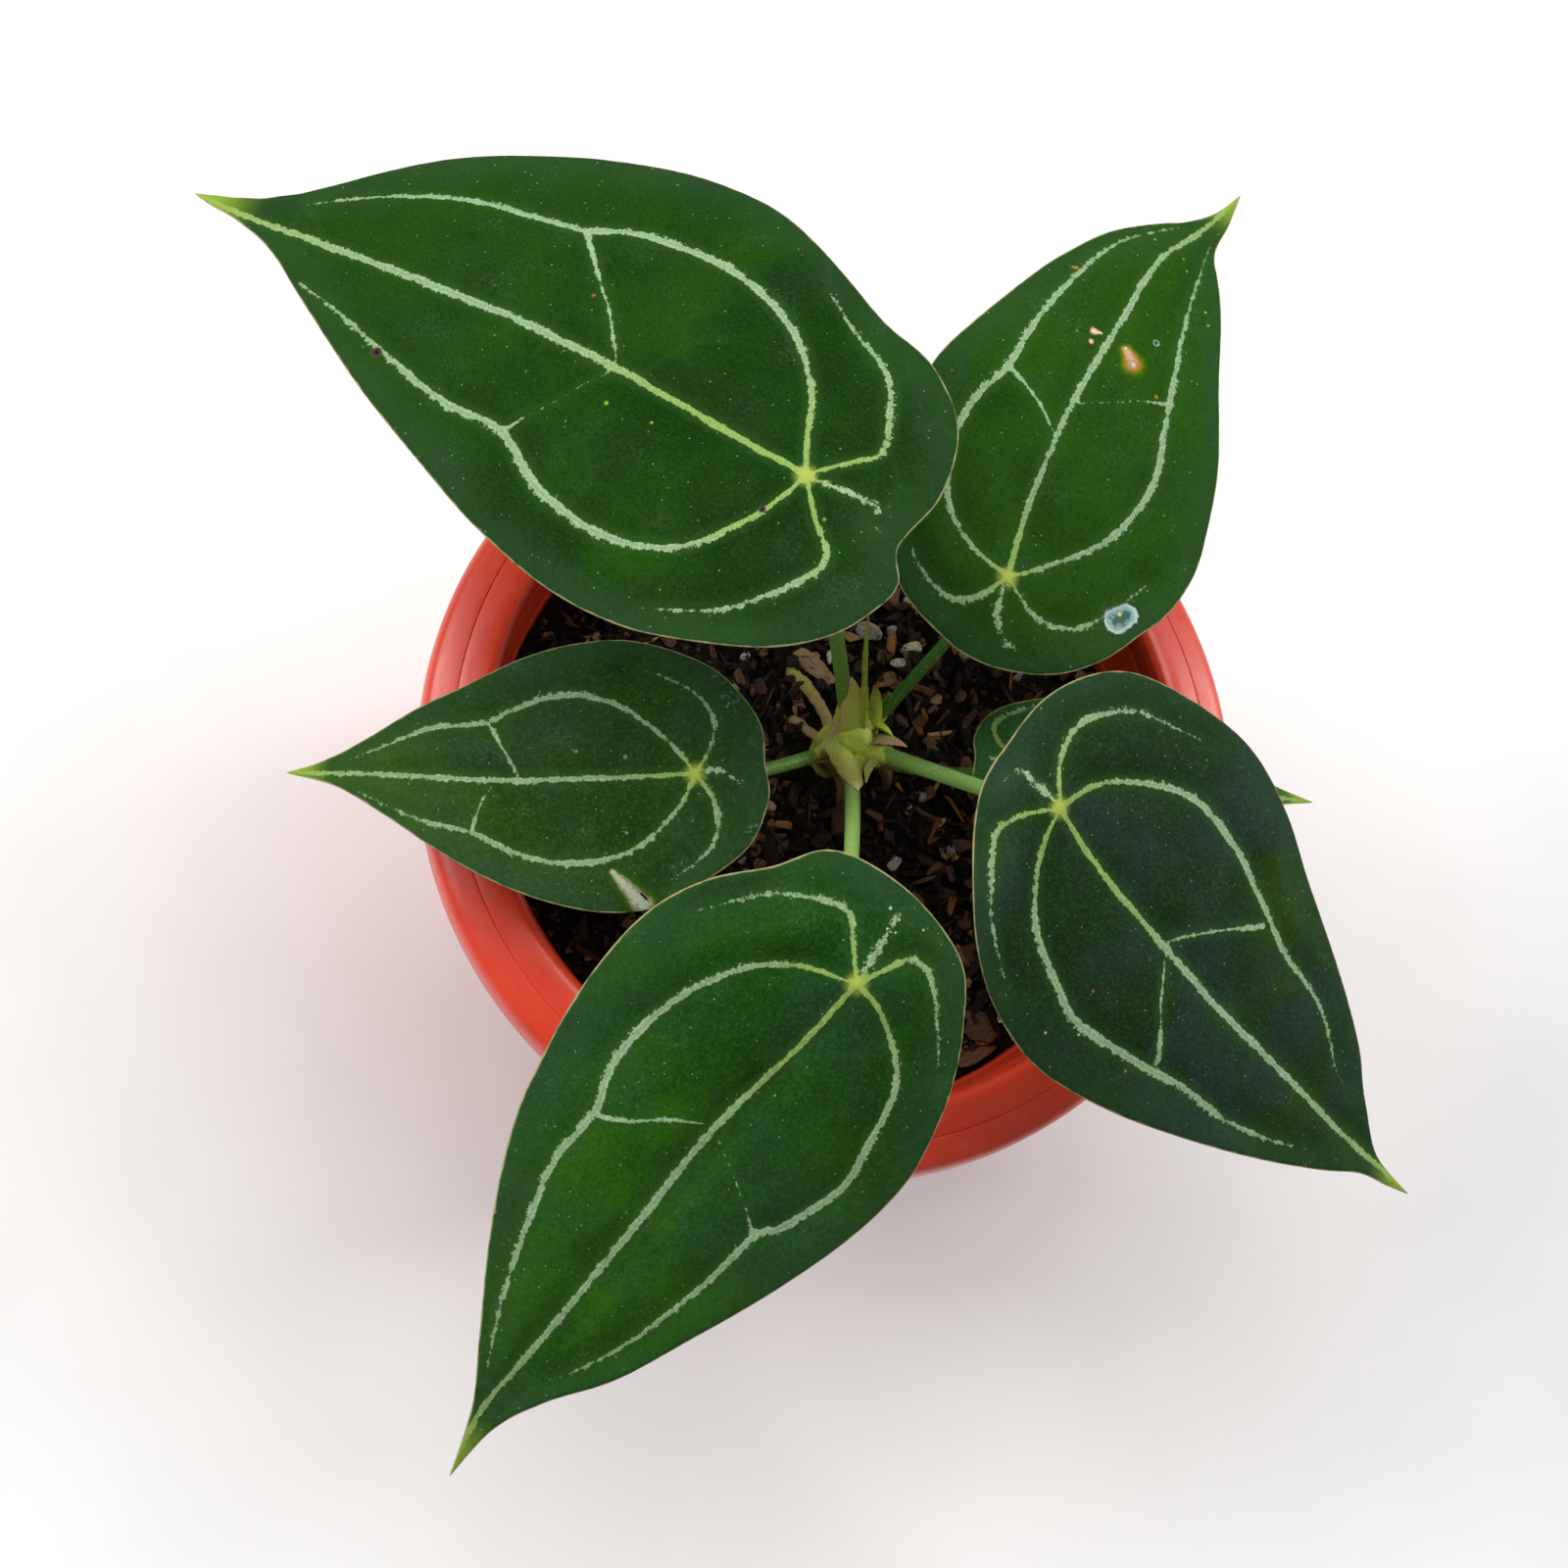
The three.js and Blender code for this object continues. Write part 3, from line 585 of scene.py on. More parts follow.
def bezier(start, leave, arrive, end, step):
    t = np.linspace(0, 1, BEZIER_PLACES)[:, None]
    line = start * (1 - t) ** 3 + 3 * leave * t * (1 - t) ** 2 + 3 * arrive * t**2 * (1 - t) + end * t**3
    return resampled(line, step)


def line_frames(line, side):
    """Unit vectors along a line and two across it, which turn with it as little as they can."""
    along = unit(np.gradient(line, axis=0))
    out = np.zeros_like(line)
    last = np.array(side, float)
    for i, tangent in enumerate(along):
        last = unit(last - tangent * (last @ tangent))
        out[i] = last
    return along, np.cross(out, along), out


def ring_walls(rings, sides):
    """Triangles between neighbouring rings of points, which follow one another."""
    low = np.arange((rings - 1) * sides).reshape(-1, sides)
    ahead = np.roll(low, -1, axis=1)
    faces = [low, ahead, ahead + sides, low, ahead + sides, low + sides]
    return np.stack(faces, axis=-1).reshape(-1, 3)


def capped(rings, sides):
    """Triangles of a closed round shape: its rings of points, and then a point for each end."""
    around = np.arange(sides)
    ahead = np.roll(around, -1)
    last = (rings - 1) * sides
    end = np.full(sides, rings * sides)
    caps = [end, ahead, around, end + 1, last + around, last + ahead]
    return np.vstack([ring_walls(rings, sides), np.stack(caps, axis=-1).reshape(-1, 3)])


CAP_ANGLES = [math.radians(angle) for angle in (20, 45, 70)]


def tube(line, half_sizes, sides, side, cap):
    """A closed tube with rounded ends, which stand out by the cap's share of its half size. Each
    place has one half size or two, the second one towards side."""
    along, across, out = line_frames(line, side)
    half_sizes = np.broadcast_to(half_sizes, (len(line), 2))
    turns = np.linspace(0, 2 * math.pi, sides, endpoint=False)
    rows = [(0, -math.sin(angle), math.cos(angle)) for angle in CAP_ANGLES[::-1]]
    rows += [(i, 0, 1) for i in range(len(line))]
    rows += [(len(line) - 1, math.sin(angle), math.cos(angle)) for angle in CAP_ANGLES]
    points = []
    shares = []
    for i, forward, size in rows:
        wide, deep = half_sizes[i] * size
        centre = line[i] + along[i] * forward * cap * half_sizes[i].mean()
        ring = across[i] * np.cos(turns)[:, None] * wide + out[i] * np.sin(turns)[:, None] * deep
        points.append(centre + ring)
        shares.append(np.full(sides, i / (len(line) - 1)))
    first = line[0] - along[0] * cap * half_sizes[0].mean()
    last = line[-1] + along[-1] * cap * half_sizes[-1].mean()
    values = {
        "share": np.concatenate([*shares, [0, 1]]),
        "around": np.concatenate([np.tile(turns, len(rows)), [0, 0]]),
    }
    return np.vstack([*points, first, last]), capped(len(rows), sides), values


SHARP_ROUND = 0.4
WIDE_ROUND = 1.6
SHALLOW_BEND = math.radians(35)
ROUND_PLACES = 5


def rounded(profile):
    """The profile with its sharp corners cut to small rounds and its shallow ones to wide rounds."""
    corners = np.array(profile, float)
    made = [corners[0]]
    for before, corner, after in zip(corners[:-2], corners[1:-1], corners[2:]):
        back = before - corner
        ahead = after - corner
        reach = min(np.linalg.norm(back), np.linalg.norm(ahead))
        bend = math.acos(np.clip(-unit(back) @ unit(ahead), -1, 1))
        cut = min(0.45 * reach, WIDE_ROUND if bend < SHALLOW_BEND else SHARP_ROUND)
        for t in np.linspace(0, 1, ROUND_PLACES):
            start = corner + unit(back) * cut
            end = corner + unit(ahead) * cut
            made.append(start * (1 - t) ** 2 + 2 * corner * t * (1 - t) + end * t**2)
    made.append(corners[-1])
    return np.array(made)


def turned(profile, segments):
    """A closed round shape about the Z axis from a profile that starts and ends on the axis."""
    turns = np.linspace(0, 2 * math.pi, segments, endpoint=False)
    rings = profile[1:-1]
    points = [
        np.stack([radius * np.cos(turns), radius * np.sin(turns), np.full(segments, height)], 1)
        for radius, height in rings
    ]
    ends = [(0, 0, profile[0][1]), (0, 0, profile[-1][1])]
    return np.vstack([*points, ends]), capped(len(rings), segments)


def applied(piece, change):
    """Gives a piece its modifiers by change(piece), and keeps the mesh that they make."""
    change(piece)
    graph = bpy.context.evaluated_depsgraph_get()
    mesh = bpy.data.meshes.new_from_object(piece.evaluated_get(graph))
    piece.modifiers.clear()
    piece.data = mesh


# Leaves
def blade_height(leaf, x, y):
    """Height of the blade's middle over its flat plane."""
    tip_fall, back_fall, side_fall = leaf["fall"]
    along = np.where(x > 0, x / leaf["length"], x / leaf["back"])
    end_fall = np.where(x > 0, tip_fall, back_fall)
    across = y / leaf["half_width"]
    edge = np.minimum(1, np.hypot(x / leaf["length"], across)) ** 3
    ripple = leaf["wave"] * edge * np.sin(MARGIN_WAVES * np.arctan2(y, x) + leaf["phase"])
    channel_start = np.minimum(1, np.abs(x) / CHANNEL_START)
    channel = CHANNEL_DEPTH * np.exp(-np.abs(y) / CHANNEL_WIDTH) * channel_start
    return ripple - channel - end_fall * along**2 - side_fall * across**2


def blade_frame(leaf):
    """The blade's axes as rows: along the midrib, across it and out of its face."""
    along = direction(leaf["heading"], -leaf["droop"])
    across = unit(np.cross(UP, along))
    roll = math.radians(leaf["roll"])
    across = across * math.cos(roll) + np.cross(along, across) * math.sin(roll)
    return np.stack([along, across, np.cross(along, across)])


def blade_margin(leaf):
    """The outline as one curve from the tip round the back lobes to the tip again."""
    tip = (leaf["length"], 0)
    return spline([tip, *leaf["right"][::-1], *leaf["left"][1:], tip], BLADE_STEP)[:-1]


def distance_to(line, places):
    """Each place's distance to a line, the share of the line's length where it is nearest, and how
    far it lies to the line's left."""
    starts = line[:-1]
    steps = np.diff(line, axis=0)
    sizes = np.linalg.norm(steps, axis=1)
    before = np.concatenate([[0], np.cumsum(sizes)])
    best = np.full(len(places), np.inf)
    share = np.zeros(len(places))
    left = np.zeros(len(places))
    for i, (start, step, size) in enumerate(zip(starts, steps, sizes)):
        offset = places - start
        t = np.clip(offset @ step / size**2, 0, 1)
        distance = np.linalg.norm(offset - t[:, None] * step, axis=1)
        nearer = distance < best
        best[nearer] = distance[nearer]
        share[nearer] = (before[i] + t[nearer] * size) / before[-1]
        left[nearer] = (step[0] * offset[nearer, 1] - step[1] * offset[nearer, 0]) / size
    return best, share, left


def inside(polygon, places):
    """Which places lie in a polygon."""
    x, y = places[:, 0], places[:, 1]
    found = np.zeros(len(places), bool)
    for (x1, y1), (x2, y2) in zip(polygon, np.roll(polygon, -1, axis=0)):
        if y1 != y2:
            crosses = (y1 > y) != (y2 > y)
            found ^= crosses & (x < (x2 - x1) * (y - y1) / (y2 - y1) + x1)
    return found


ROW_SPACING = 0.87 * BLADE_STEP
JITTER = 0.12
CLEAR_OF_MARGIN = 0.6 * BLADE_STEP
CLEAR_OF_VEINS = 0.55 * BLADE_STEP


def blade_layout(leaf, seed):
    """Flat places over the blade, and its triangles: the margin, the veins' lines and between them
    rows of places."""
    margin = blade_margin(leaf)
    lines = [spline(points, BLADE_STEP) for _, points in leaf["veins"]]
    low = margin.min(0)
    high = margin.max(0)
    rows = np.arange(low[1], high[1], ROW_SPACING)
    columns = np.arange(low[0], high[0], BLADE_STEP)
    grid_x, grid_y = np.meshgrid(columns, rows)
    grid_x = grid_x + (np.arange(len(rows)) % 2)[:, None] * BLADE_STEP / 2
    places = np.stack([grid_x.ravel(), grid_y.ravel()], 1)
    places += np.random.default_rng(seed).uniform(-JITTER, JITTER, places.shape) * BLADE_STEP
    places = places[inside(margin, places)]
    clear = distance_to(np.vstack([margin, margin[:1]]), places)[0] > CLEAR_OF_MARGIN
    for line in lines:
        clear &= distance_to(line, places)[0] > CLEAR_OF_VEINS
    corners = [margin]
    edges = []
    start = len(margin)
    for line in lines:
        kept = line[inside(margin, line)]
        corners.append(kept)
        edges += [(start + i, start + i + 1) for i in range(len(kept) - 1)]
        start += len(kept)
    corners.append(places[clear])
    flat = [Vector(corner) for corner in np.vstack(corners)]
    made = delaunay_2d_cdt(flat, edges, [list(range(len(margin)))], 1, 1e-4)
    places = np.array([corner[:] for corner in made[0]])
    return places, np.array([face for face in made[2] if len(face) == 3])


# The blade length at which a vein has the widths of its kind, and the spacing of its line
VEIN_WIDTHS_LENGTH = 140
VEIN_STEP = 2
WIDEST_SHARE = 0.4
SIDE_BLEND = 0.4
STRONG_RELIEF = 0.5
HUMP_SPREAD = 1.1


def vein_values(leaf, places, young):
    """What the veins give each place: how far it is outside the nearest one's edge, that one's
    strength, raggedness and age, how far the nearest strong one's middle is, and the relief."""
    count = len(places)
    nearest = {"outside": np.full(count, np.inf)}
    nearest |= {key: np.zeros(count) for key in ("strength", "ragged", "age")}
    middle = np.full(count, np.inf)
    relief = np.zeros(count)
    size = math.sqrt(leaf["length"] / VEIN_WIDTHS_LENGTH)
    reach = np.hypot(*places.T) / leaf["length"]
    for kind, points in leaf["veins"]:
        look = VEIN_KINDS[kind]
        line = spline(points, VEIN_STEP)
        distance, share, left = distance_to(line, places)
        width = np.interp(share, (0, WIDEST_SHARE, 1), look["widths"]) * size
        lasting = np.interp(share, *look["whole"])
        outer_side = left * np.sign(line[:, 1].mean())
        found = {
            "outside": distance - width,
            "strength": lasting,
            "ragged": np.interp(outer_side, (-SIDE_BLEND, SIDE_BLEND), look["ragged"]),
            "age": np.minimum(1, reach / (young * look["young"])),
        }
        nearer = found["outside"] < nearest["outside"]
        for key, value in found.items():
            nearest[key][nearer] = value[nearer]
        if look["relief"] >= STRONG_RELIEF:
            middle = np.minimum(middle, distance)
        hump = np.exp(-((distance / (HUMP_SPREAD * width)) ** 2))
        relief = np.maximum(relief, look["relief"] * lasting**0.5 * hump)
    return {**nearest, "middle": middle}, relief


VALLEY_DEPTH = 1.2
VALLEY_WIDTH = 4.2
VALLEY_START = 12
RIDGE = 0.28
UNDER_RIB = 0.9
PUFF = 0.7
PUFF_SIZE = 13
MARGIN_BULGE = 0.12
MARGIN_TAPER = 6
# Each blade's patterns are taken from a layer of its own, this far apart
LAYER = 40.0


def blade_levels(leaf, places, flat, edge, middle):
    """The height of the blade's middle at each place, with valleys along its strong veins and soft
    puffs between them."""
    x, y = places.T
    inner = 1 - np.exp(-edge / MARGIN_TAPER)
    valley = VALLEY_DEPTH * np.exp(-((middle / VALLEY_WIDTH) ** 2))
    valley = valley * np.minimum(1, np.hypot(x, y) / VALLEY_START)
    return blade_height(leaf, x, y) - valley + PUFF * inner * smooth_noise(flat, PUFF_SIZE, 2)


def outer_sides(faces, count):
    """The sides that only one triangle uses, as pairs of corners in its own order."""
    sides = np.vstack([faces[:, [0, 1]], faces[:, [1, 2]], faces[:, [2, 0]]])
    keys = sides.min(1) * count + sides.max(1)
    found, uses = np.unique(keys, return_counts=True)
    return sides[np.isin(keys, found[uses == 1])]


def outwards(places, rim):
    """The way out of the blade at each place on its margin."""
    steps = places[rim[:, 1]] - places[rim[:, 0]]
    normals = unit(np.column_stack([steps[:, 1], -steps[:, 0]]))
    ways = np.zeros(places.shape)
    np.add.at(ways, rim[:, 0], normals)
    np.add.at(ways, rim[:, 1], normals)
    return ways


def make_leaf(name, leaf, seed):
    places, faces = blade_layout(leaf, seed)
    margin = blade_margin(leaf)
    edge = distance_to(np.vstack([margin, margin[:1]]), places)[0]
    veins, relief = vein_values(leaf, places, LEAF_LOOKS[name]["young"])
    flat = np.column_stack([places, np.full(len(places), LAYER * seed)])
    level = blade_levels(leaf, places, flat, edge, veins["middle"])
    inner = 1 - np.exp(-edge / MARGIN_TAPER)
    half = (MARGIN_THICKNESS + (BLADE_THICKNESS - MARGIN_THICKNESS) * inner) / 2
    top = np.column_stack([places, level + half + RIDGE * relief * inner])
    bottom = np.column_stack([places, level - half - UNDER_RIB * relief * inner])

    # The two faces are joined along the margin by a strip with a rounded middle
    count = len(places)
    rim = outer_sides(faces, count)
    rim_corners = np.unique(rim)
    ring_index = {corner: 2 * count + i for i, corner in enumerate(rim_corners)}
    ways = unit(outwards(places, rim)[rim_corners])
    ring = np.column_stack([places[rim_corners] + ways * MARGIN_BULGE, level[rim_corners]])
    strip = []
    for a, b in rim:
        strip += [(a, ring_index[a], ring_index[b]), (a, ring_index[b], b)]
        strip += [(count + a, ring_index[b], ring_index[a]), (count + a, count + b, ring_index[b])]
    points = np.vstack([top, bottom, ring]) @ blade_frame(leaf) + leaf["junction"]
    all_faces = np.vstack([faces, faces[:, ::-1] + count, strip])

    def spread(value, at_ring=None):
        at_ring = value[rim_corners] if at_ring is None else np.full(len(rim_corners), at_ring)
        return np.concatenate([value, value, at_ring])

    values = {
        **{key: spread(value) for key, value in veins.items()},
        "edge": spread(edge, 0.0),
        "under": np.concatenate([np.zeros(count), np.ones(count), np.full(len(rim_corners), 0.5)]),
        "along": spread(places[:, 0] / leaf["length"]),
        "flat": np.vstack([flat, flat, flat[rim_corners]]),
    }
    material = leaf_material(name, LAYER * seed)
    make_piece(f"{name}_blade", points, all_faces, material, (name,), values=values)


VEIN_YOUNG = rgb(136, 162, 82)
VEIN_SILVER = rgb(146, 169, 134)
JUNCTION = rgb(158, 172, 74)
GREEN_DEEP = rgb(20, 54, 9)
GREEN_FRESH = rgb(42, 80, 4)
GREEN_BLUE = rgb(33, 60, 40)
# Painted sheen: a lighter, greyer green laid over each blade near its margin
PAINTED_SHEEN_GREEN = rgb(42, 70, 42)
MARGIN_LINE = rgb(168, 160, 112)
UNDER_GREEN = rgb(104, 136, 78)
UNDER_VEIN = rgb(150, 172, 106)
# Colours at a mark's middle and edge, and of the tissue round it
MARK_KINDS = {
    "brown": (rgb(140, 98, 80), rgb(98, 58, 44), rgb(36, 60, 22)),
    "dark": (rgb(40, 16, 24), rgb(66, 40, 44), rgb(60, 80, 50)),
    "yellow": (rgb(132, 152, 56), rgb(98, 126, 38), rgb(46, 80, 18)),
    "halo": (rgb(90, 112, 8), rgb(70, 98, 8), rgb(50, 80, 8)),
    "lesion": (rgb(176, 146, 120), rgb(160, 108, 78), rgb(150, 108, 14)),
    "speck": (rgb(196, 184, 150), rgb(170, 150, 118), rgb(120, 110, 76)),
    "pale": (rgb(206, 186, 166), rgb(172, 122, 92), rgb(54, 78, 16)),
    "ring": (rgb(44, 66, 50), rgb(134, 148, 138), rgb(30, 60, 20)),
    "crust": (rgb(168, 188, 172), rgb(168, 188, 172), rgb(30, 62, 36)),
    "film": (rgb(58, 92, 76), rgb(126, 154, 156), rgb(150, 174, 166)),
    "orange": (rgb(156, 116, 44), rgb(112, 86, 18), rgb(62, 86, 12)),
    "beige": (rgb(130, 128, 92), rgb(96, 104, 66), rgb(44, 70, 30)),
    "white": (rgb(176, 188, 168), rgb(130, 150, 124), rgb(40, 70, 40)),
    "sallow": (rgb(42, 74, 14), rgb(36, 68, 12), rgb(32, 62, 14)),
    "scar": (rgb(152, 160, 138), rgb(114, 114, 84), rgb(70, 90, 30)),
    "slit": (rgb(14, 16, 12), rgb(34, 34, 26), rgb(150, 148, 124)),
}
DUST = rgb(128, 158, 146)


class BladeShader(Shader):
    """A blade's material: the patterns that its layers share, and the layers."""

    def __init__(self, name, layer):
        super().__init__(name)
        self.layer = layer
        self.looks = LEAF_LOOKS[name]
        self.flat = self.vector("flat")
        self.along = self.number("along")
        self.edge = self.number("edge")
        self.outside = self.number("outside")
        self.strength = self.number("strength")
        self.age = self.number("age")
        self.patches = self.noise(self.flat, 24, detail=3)
        self.grain = self.noise(self.flat, 0.7, detail=4, rough=0.8)
        meshes = self.cells(self.flat, 13, "DISTANCE_TO_EDGE")[0]
        shown = self.fade(self.noise(self.flat, 11), 0.4, 0.7, 0.0, 0.05)
        self.net = self.fade(meshes, 0.09, 0.0) * shown

    def green(self):
        """Fresher towards the tip and in patches, bluer in others, lighter and greyer inside the margin
        by a painted sheen, with a barely visible wide net and softly paler tissue along each vein."""
        fresh = self.looks["fresh"]
        ripe = self.fade(self.along * 0.45 + self.patches, 0.42 - fresh, 0.9 - fresh)
        blue = self.fade(self.noise(self.flat, 19, detail=2), 0.4, 0.66, 0.1, self.looks["blue"])
        # Painted sheen: the blade turns lighter and greyer towards its margin, where its drooping edges
        # would catch the light
        painted_sheen = self.edge + (self.noise(self.flat, 15, detail=3) - 0.5) * 14.0
        halo = self.fade(self.outside, 2.2, 0.0, 0.0, 0.3) * self.strength
        green = self.mix(ripe, GREEN_DEEP, GREEN_FRESH)
        green = self.mix(blue, green, GREEN_BLUE)
        green = self.mix(self.fade(self.grain, 0.48, 0.68, 0.0, 0.5), green, rgb(54, 92, 42))
        green = self.mix(self.fade(self.grain, 0.5, 0.3, 0.0, 0.5), green, rgb(10, 32, 8))
        # The tint is partly painted light: it brightens the blades that lie in shade
        green = self.mix(1.0, green, (*self.looks["tint"], 1.0), "MULTIPLY")
        green = self.mix(self.fade(painted_sheen, 11.0, 0.0, 0.0, 0.38), green, PAINTED_SHEEN_GREEN)
        green = self.mix(self.net, green, rgb(72, 112, 56))
        return self.mix(halo, green, rgb(44, 82, 28))

    def jagged(self):
        """How far a vein's edge is out of its line, which is less where it is young."""
        fibres = self.noise(self.flat, 0.5, detail=4, rough=0.75)
        teeth = self.cells(self.flat, 1.25)[0]
        jagged = (fibres - 0.5) * 2.0 + (teeth - 0.38) * 0.75
        return jagged * self.number("ragged") * self.fade(self.age, 0.0, 0.8, 0.35, 1.0)

    def veins(self, jagged):
        """The veins' mask, streaks and colour: yellow-green by the junction, silver further out,
        and broken up at their ends."""
        uneven = (self.noise(self.flat, 5) - 0.5) * 0.9
        gap = self.outside + jagged + uneven + (1.0 - self.strength) * 0.5
        kept = self.fade(self.noise(self.flat, 2.4, detail=3) + self.strength, 0.66, 0.78)
        mask = self.fade(gap, 0.12, -0.1) * kept
        silver = self.fade(self.age + (self.patches - 0.5) * 0.8, 0.25, 1.0)
        silver = silver * self.fade(self.along, 0.62, 0.95, 1.0, 0.15)
        streaks = self.noise(self.flat, 0.45, detail=3, rough=0.7)
        furrow = self.fade(self.number("middle"), 0.32, 0.06, 0.0, 0.35)
        colour = self.mix(silver, VEIN_YOUNG, VEIN_SILVER)
        colour = self.mix(self.fade(streaks, 0.6, 0.34, 0.0, 0.6), colour, rgb(88, 126, 72))
        colour = self.mix(self.fade(streaks, 0.55, 0.75, 0.0, 0.5), colour, rgb(188, 212, 180))
        colour = self.mix(furrow * silver, colour, rgb(84, 122, 78))
        return mask, streaks, colour

    def ended(self, colour, jagged):
        """With the knot at the junction, the pale tip and the line along the margin."""
        from_junction = self.distance(self.flat, (0, 0, self.layer))
        knot = self.fade(from_junction + jagged * 0.5, 3.2, 0.0, 0.0, 0.95)
        line = self.fade(self.edge + self.noise(self.flat, 3) * 0.5, 0.46, 0.22, 0.0, 0.72)
        colour = self.mix(knot, colour, JUNCTION)
        colour = self.mix(self.fade(self.along, 0.88, 0.98, 0.0, 0.88), colour, rgb(132, 158, 52))
        return self.mix(line, colour, MARGIN_LINE)

    def dusty(self, colour):
        """With fine dust, and pale smudges of it."""
        smudge = self.fade(self.noise(self.flat, 9, detail=2), 0.56, 0.74)
        smudge = smudge * self.fade(self.grain, 0.42, 0.7)
        colour = self.mix(self.dots(self.flat, 1.4, 0.2, 0.5) * 0.4, colour, rgb(150, 176, 144))
        return self.mix(smudge * 0.06, colour, rgb(120, 150, 140))

    def marked(self, colour, marks):
        """With marks, each with an uneven edge and a rim of its own."""
        uneven = (self.noise(self.flat, 1.3, detail=4, rough=0.75) - 0.5) * 0.8
        mottled = (self.noise(self.flat, 0.6, detail=3) - 0.5) * 1.6
        for kind, *places in marks:
            spots = [(x, y, self.layer) for x, y, _ in places]
            radius = places[0][2]
            if len(places) == 1:
                distance = self.distance(self.flat, spots[0])
            else:
                distance, share = self.from_streak(self.flat, *spots)
                radius = share * (places[1][2] - radius) + radius
            distance = distance / radius
            if kind == "dust":
                specks = self.fade(self.noise(self.flat, 1.1, detail=4, rough=0.7), 0.52, 0.66)
                colour = self.mix(self.fade(distance, 1.0, 0.0, 0.0, 0.8) * specks, colour, DUST)
                continue
            middle, edge, around = MARK_KINDS[kind]
            distance = distance + uneven
            colour = self.mix(self.fade(distance, 1.5, 1.0, 0.0, 0.85), colour, around)
            core = self.mix(self.fade(distance + mottled, 0.3, 0.85), middle, edge)
            colour = self.mix(self.fade(distance, 1.06, 0.94), colour, core)
        return colour

    def underside(self):
        under = self.mix(self.fade(self.patches, 0.35, 0.65), UNDER_GREEN, rgb(122, 148, 88))
        under = self.mix(self.net * 5.0, under, rgb(88, 116, 62))
        return self.mix(self.fade(self.outside, 0.5, -0.3), under, UNDER_VEIN)


def leaf_material(name, layer):
    s = BladeShader(name, layer)
    jagged = s.jagged()
    vein, streaks, vein_colour = s.veins(jagged)
    colour = s.mix(vein * 0.96, s.green(), vein_colour)
    colour = s.marked(s.dusty(s.ended(colour, jagged)), MARKS[name])
    colour = s.mix(s.fade(s.number("under"), 0.55, 0.8), colour, s.underside())
    relief = s.bump(s.grain, 0.1, 0.5)
    relief = s.bump(vein * (streaks + 0.6), 0.12, 0.6, relief)
    return s.finish(
        colour, 0.6, relief, Specular_IOR_Level=0.03, Sheen_Weight=0.01, Sheen_Roughness=0.5,
        Sheen_Tint=(0.6, 1.0, 0.7, 1.0),
    )


for number, (leaf_name, leaf_data) in enumerate(LEAVES.items()):
    make_leaf(leaf_name, leaf_data, number + 1)


# Petioles
JUNCTION_DEPTH = 0.3
PETIOLE_SIDES = 24
PETIOLE_SIDE = direction(110, 0)


def petiole_line(petiole, leaf, step):
    normal = blade_frame(leaf)[2]
    end = np.array(leaf["junction"]) - normal * BLADE_THICKNESS * JUNCTION_DEPTH
    root = np.array(petiole["root"], float)
    low_bend, high_bend = petiole["bends"]
    leave = root + direction(*petiole["leaves"]) * low_bend
    return bezier(root, leave, end - normal * high_bend, end, step)


def make_petiole(number, petiole, leaf):
    name = f"petiole_{number}"
    line = petiole_line(petiole, leaf, 1.0)
    share = np.linspace(0, 1, len(line))
    to_top = (1 - share) * len(line)
    joint = JOINT_SWELL * np.exp(-((to_top / JOINT_LENGTH) ** 2))
    low, high = petiole["widths"]
    radius = low / 2 * (1 - share) + high / 2 * share + joint
    points, faces, values = tube(line, radius[:, None], PETIOLE_SIDES, PETIOLE_SIDE, 0.2)
    material = petiole_material(name, number)
    make_piece(f"{name}_stalk", points, faces, material, (name,), values=values)


# Colours at the crown, midway and under the blade
PETIOLE_COLOURS = [
    (rgb(124, 156, 64), rgb(104, 148, 64), rgb(94, 132, 60)),
    (rgb(120, 150, 70), rgb(74, 128, 46), rgb(72, 118, 46)),
    (rgb(132, 140, 62), rgb(94, 134, 62), rgb(88, 124, 60)),
    (rgb(150, 160, 76), rgb(138, 174, 90), rgb(164, 190, 100)),
    # Petiole 5's colours are partly painted light: brighter to make up for the shade that the leaves
    # above cast on it
    (rgb(134, 156, 80), rgb(122, 164, 86), rgb(104, 142, 64)),
    (rgb(104, 122, 56), rgb(86, 122, 56), rgb(90, 124, 60)),
]


def petiole_material(name, number):
    s = Shader(name)
    share = s.number("share")
    base, middle, top = PETIOLE_COLOURS[number - 1]
    colour = s.ramp(share, [(0.0, base), (0.18, middle), (0.6, middle), (1.0, top)])
    mottled = s.noise(s.place, 2.2, detail=3)
    colour = s.mix(s.fade(mottled, 0.35, 0.7, 0.0, 0.35), colour, rgb(150, 180, 100), "SOFT_LIGHT")
    scurf = s.dots(s.stretched(s.place, (1, 1, 0.7)), 0.75, 0.36, 0.5)
    colour = s.mix(scurf * 0.45, colour, rgb(176, 196, 140))
    relief = s.bump(s.noise(s.place, 0.6, detail=3), 0.12, 0.5)
    return s.finish(
        colour, 0.42, relief, Specular_IOR_Level=0.4, Subsurface_Weight=0.08, Subsurface_Scale=0.002,
    )


for number, (petiole_data, leaf_data) in enumerate(zip(PETIOLES, LEAVES.values())):
    make_petiole(number + 1, petiole_data, leaf_data)


# Crown, sheaths, new leaf and roots
def tints(points, base, spots):
    """Colours that pass from the base to each spot's own: spots are (place, reach, colour)."""
    colours = np.tile(np.array(base[:3]), (len(points), 1))
    for place, reach, colour in spots:
        distance = np.linalg.norm(points - np.array(place), axis=1)
        weight = np.exp(-((distance / reach) ** 2))[:, None]
        colours = colours * (1 - weight) + np.array(colour[:3]) * weight
    return colours


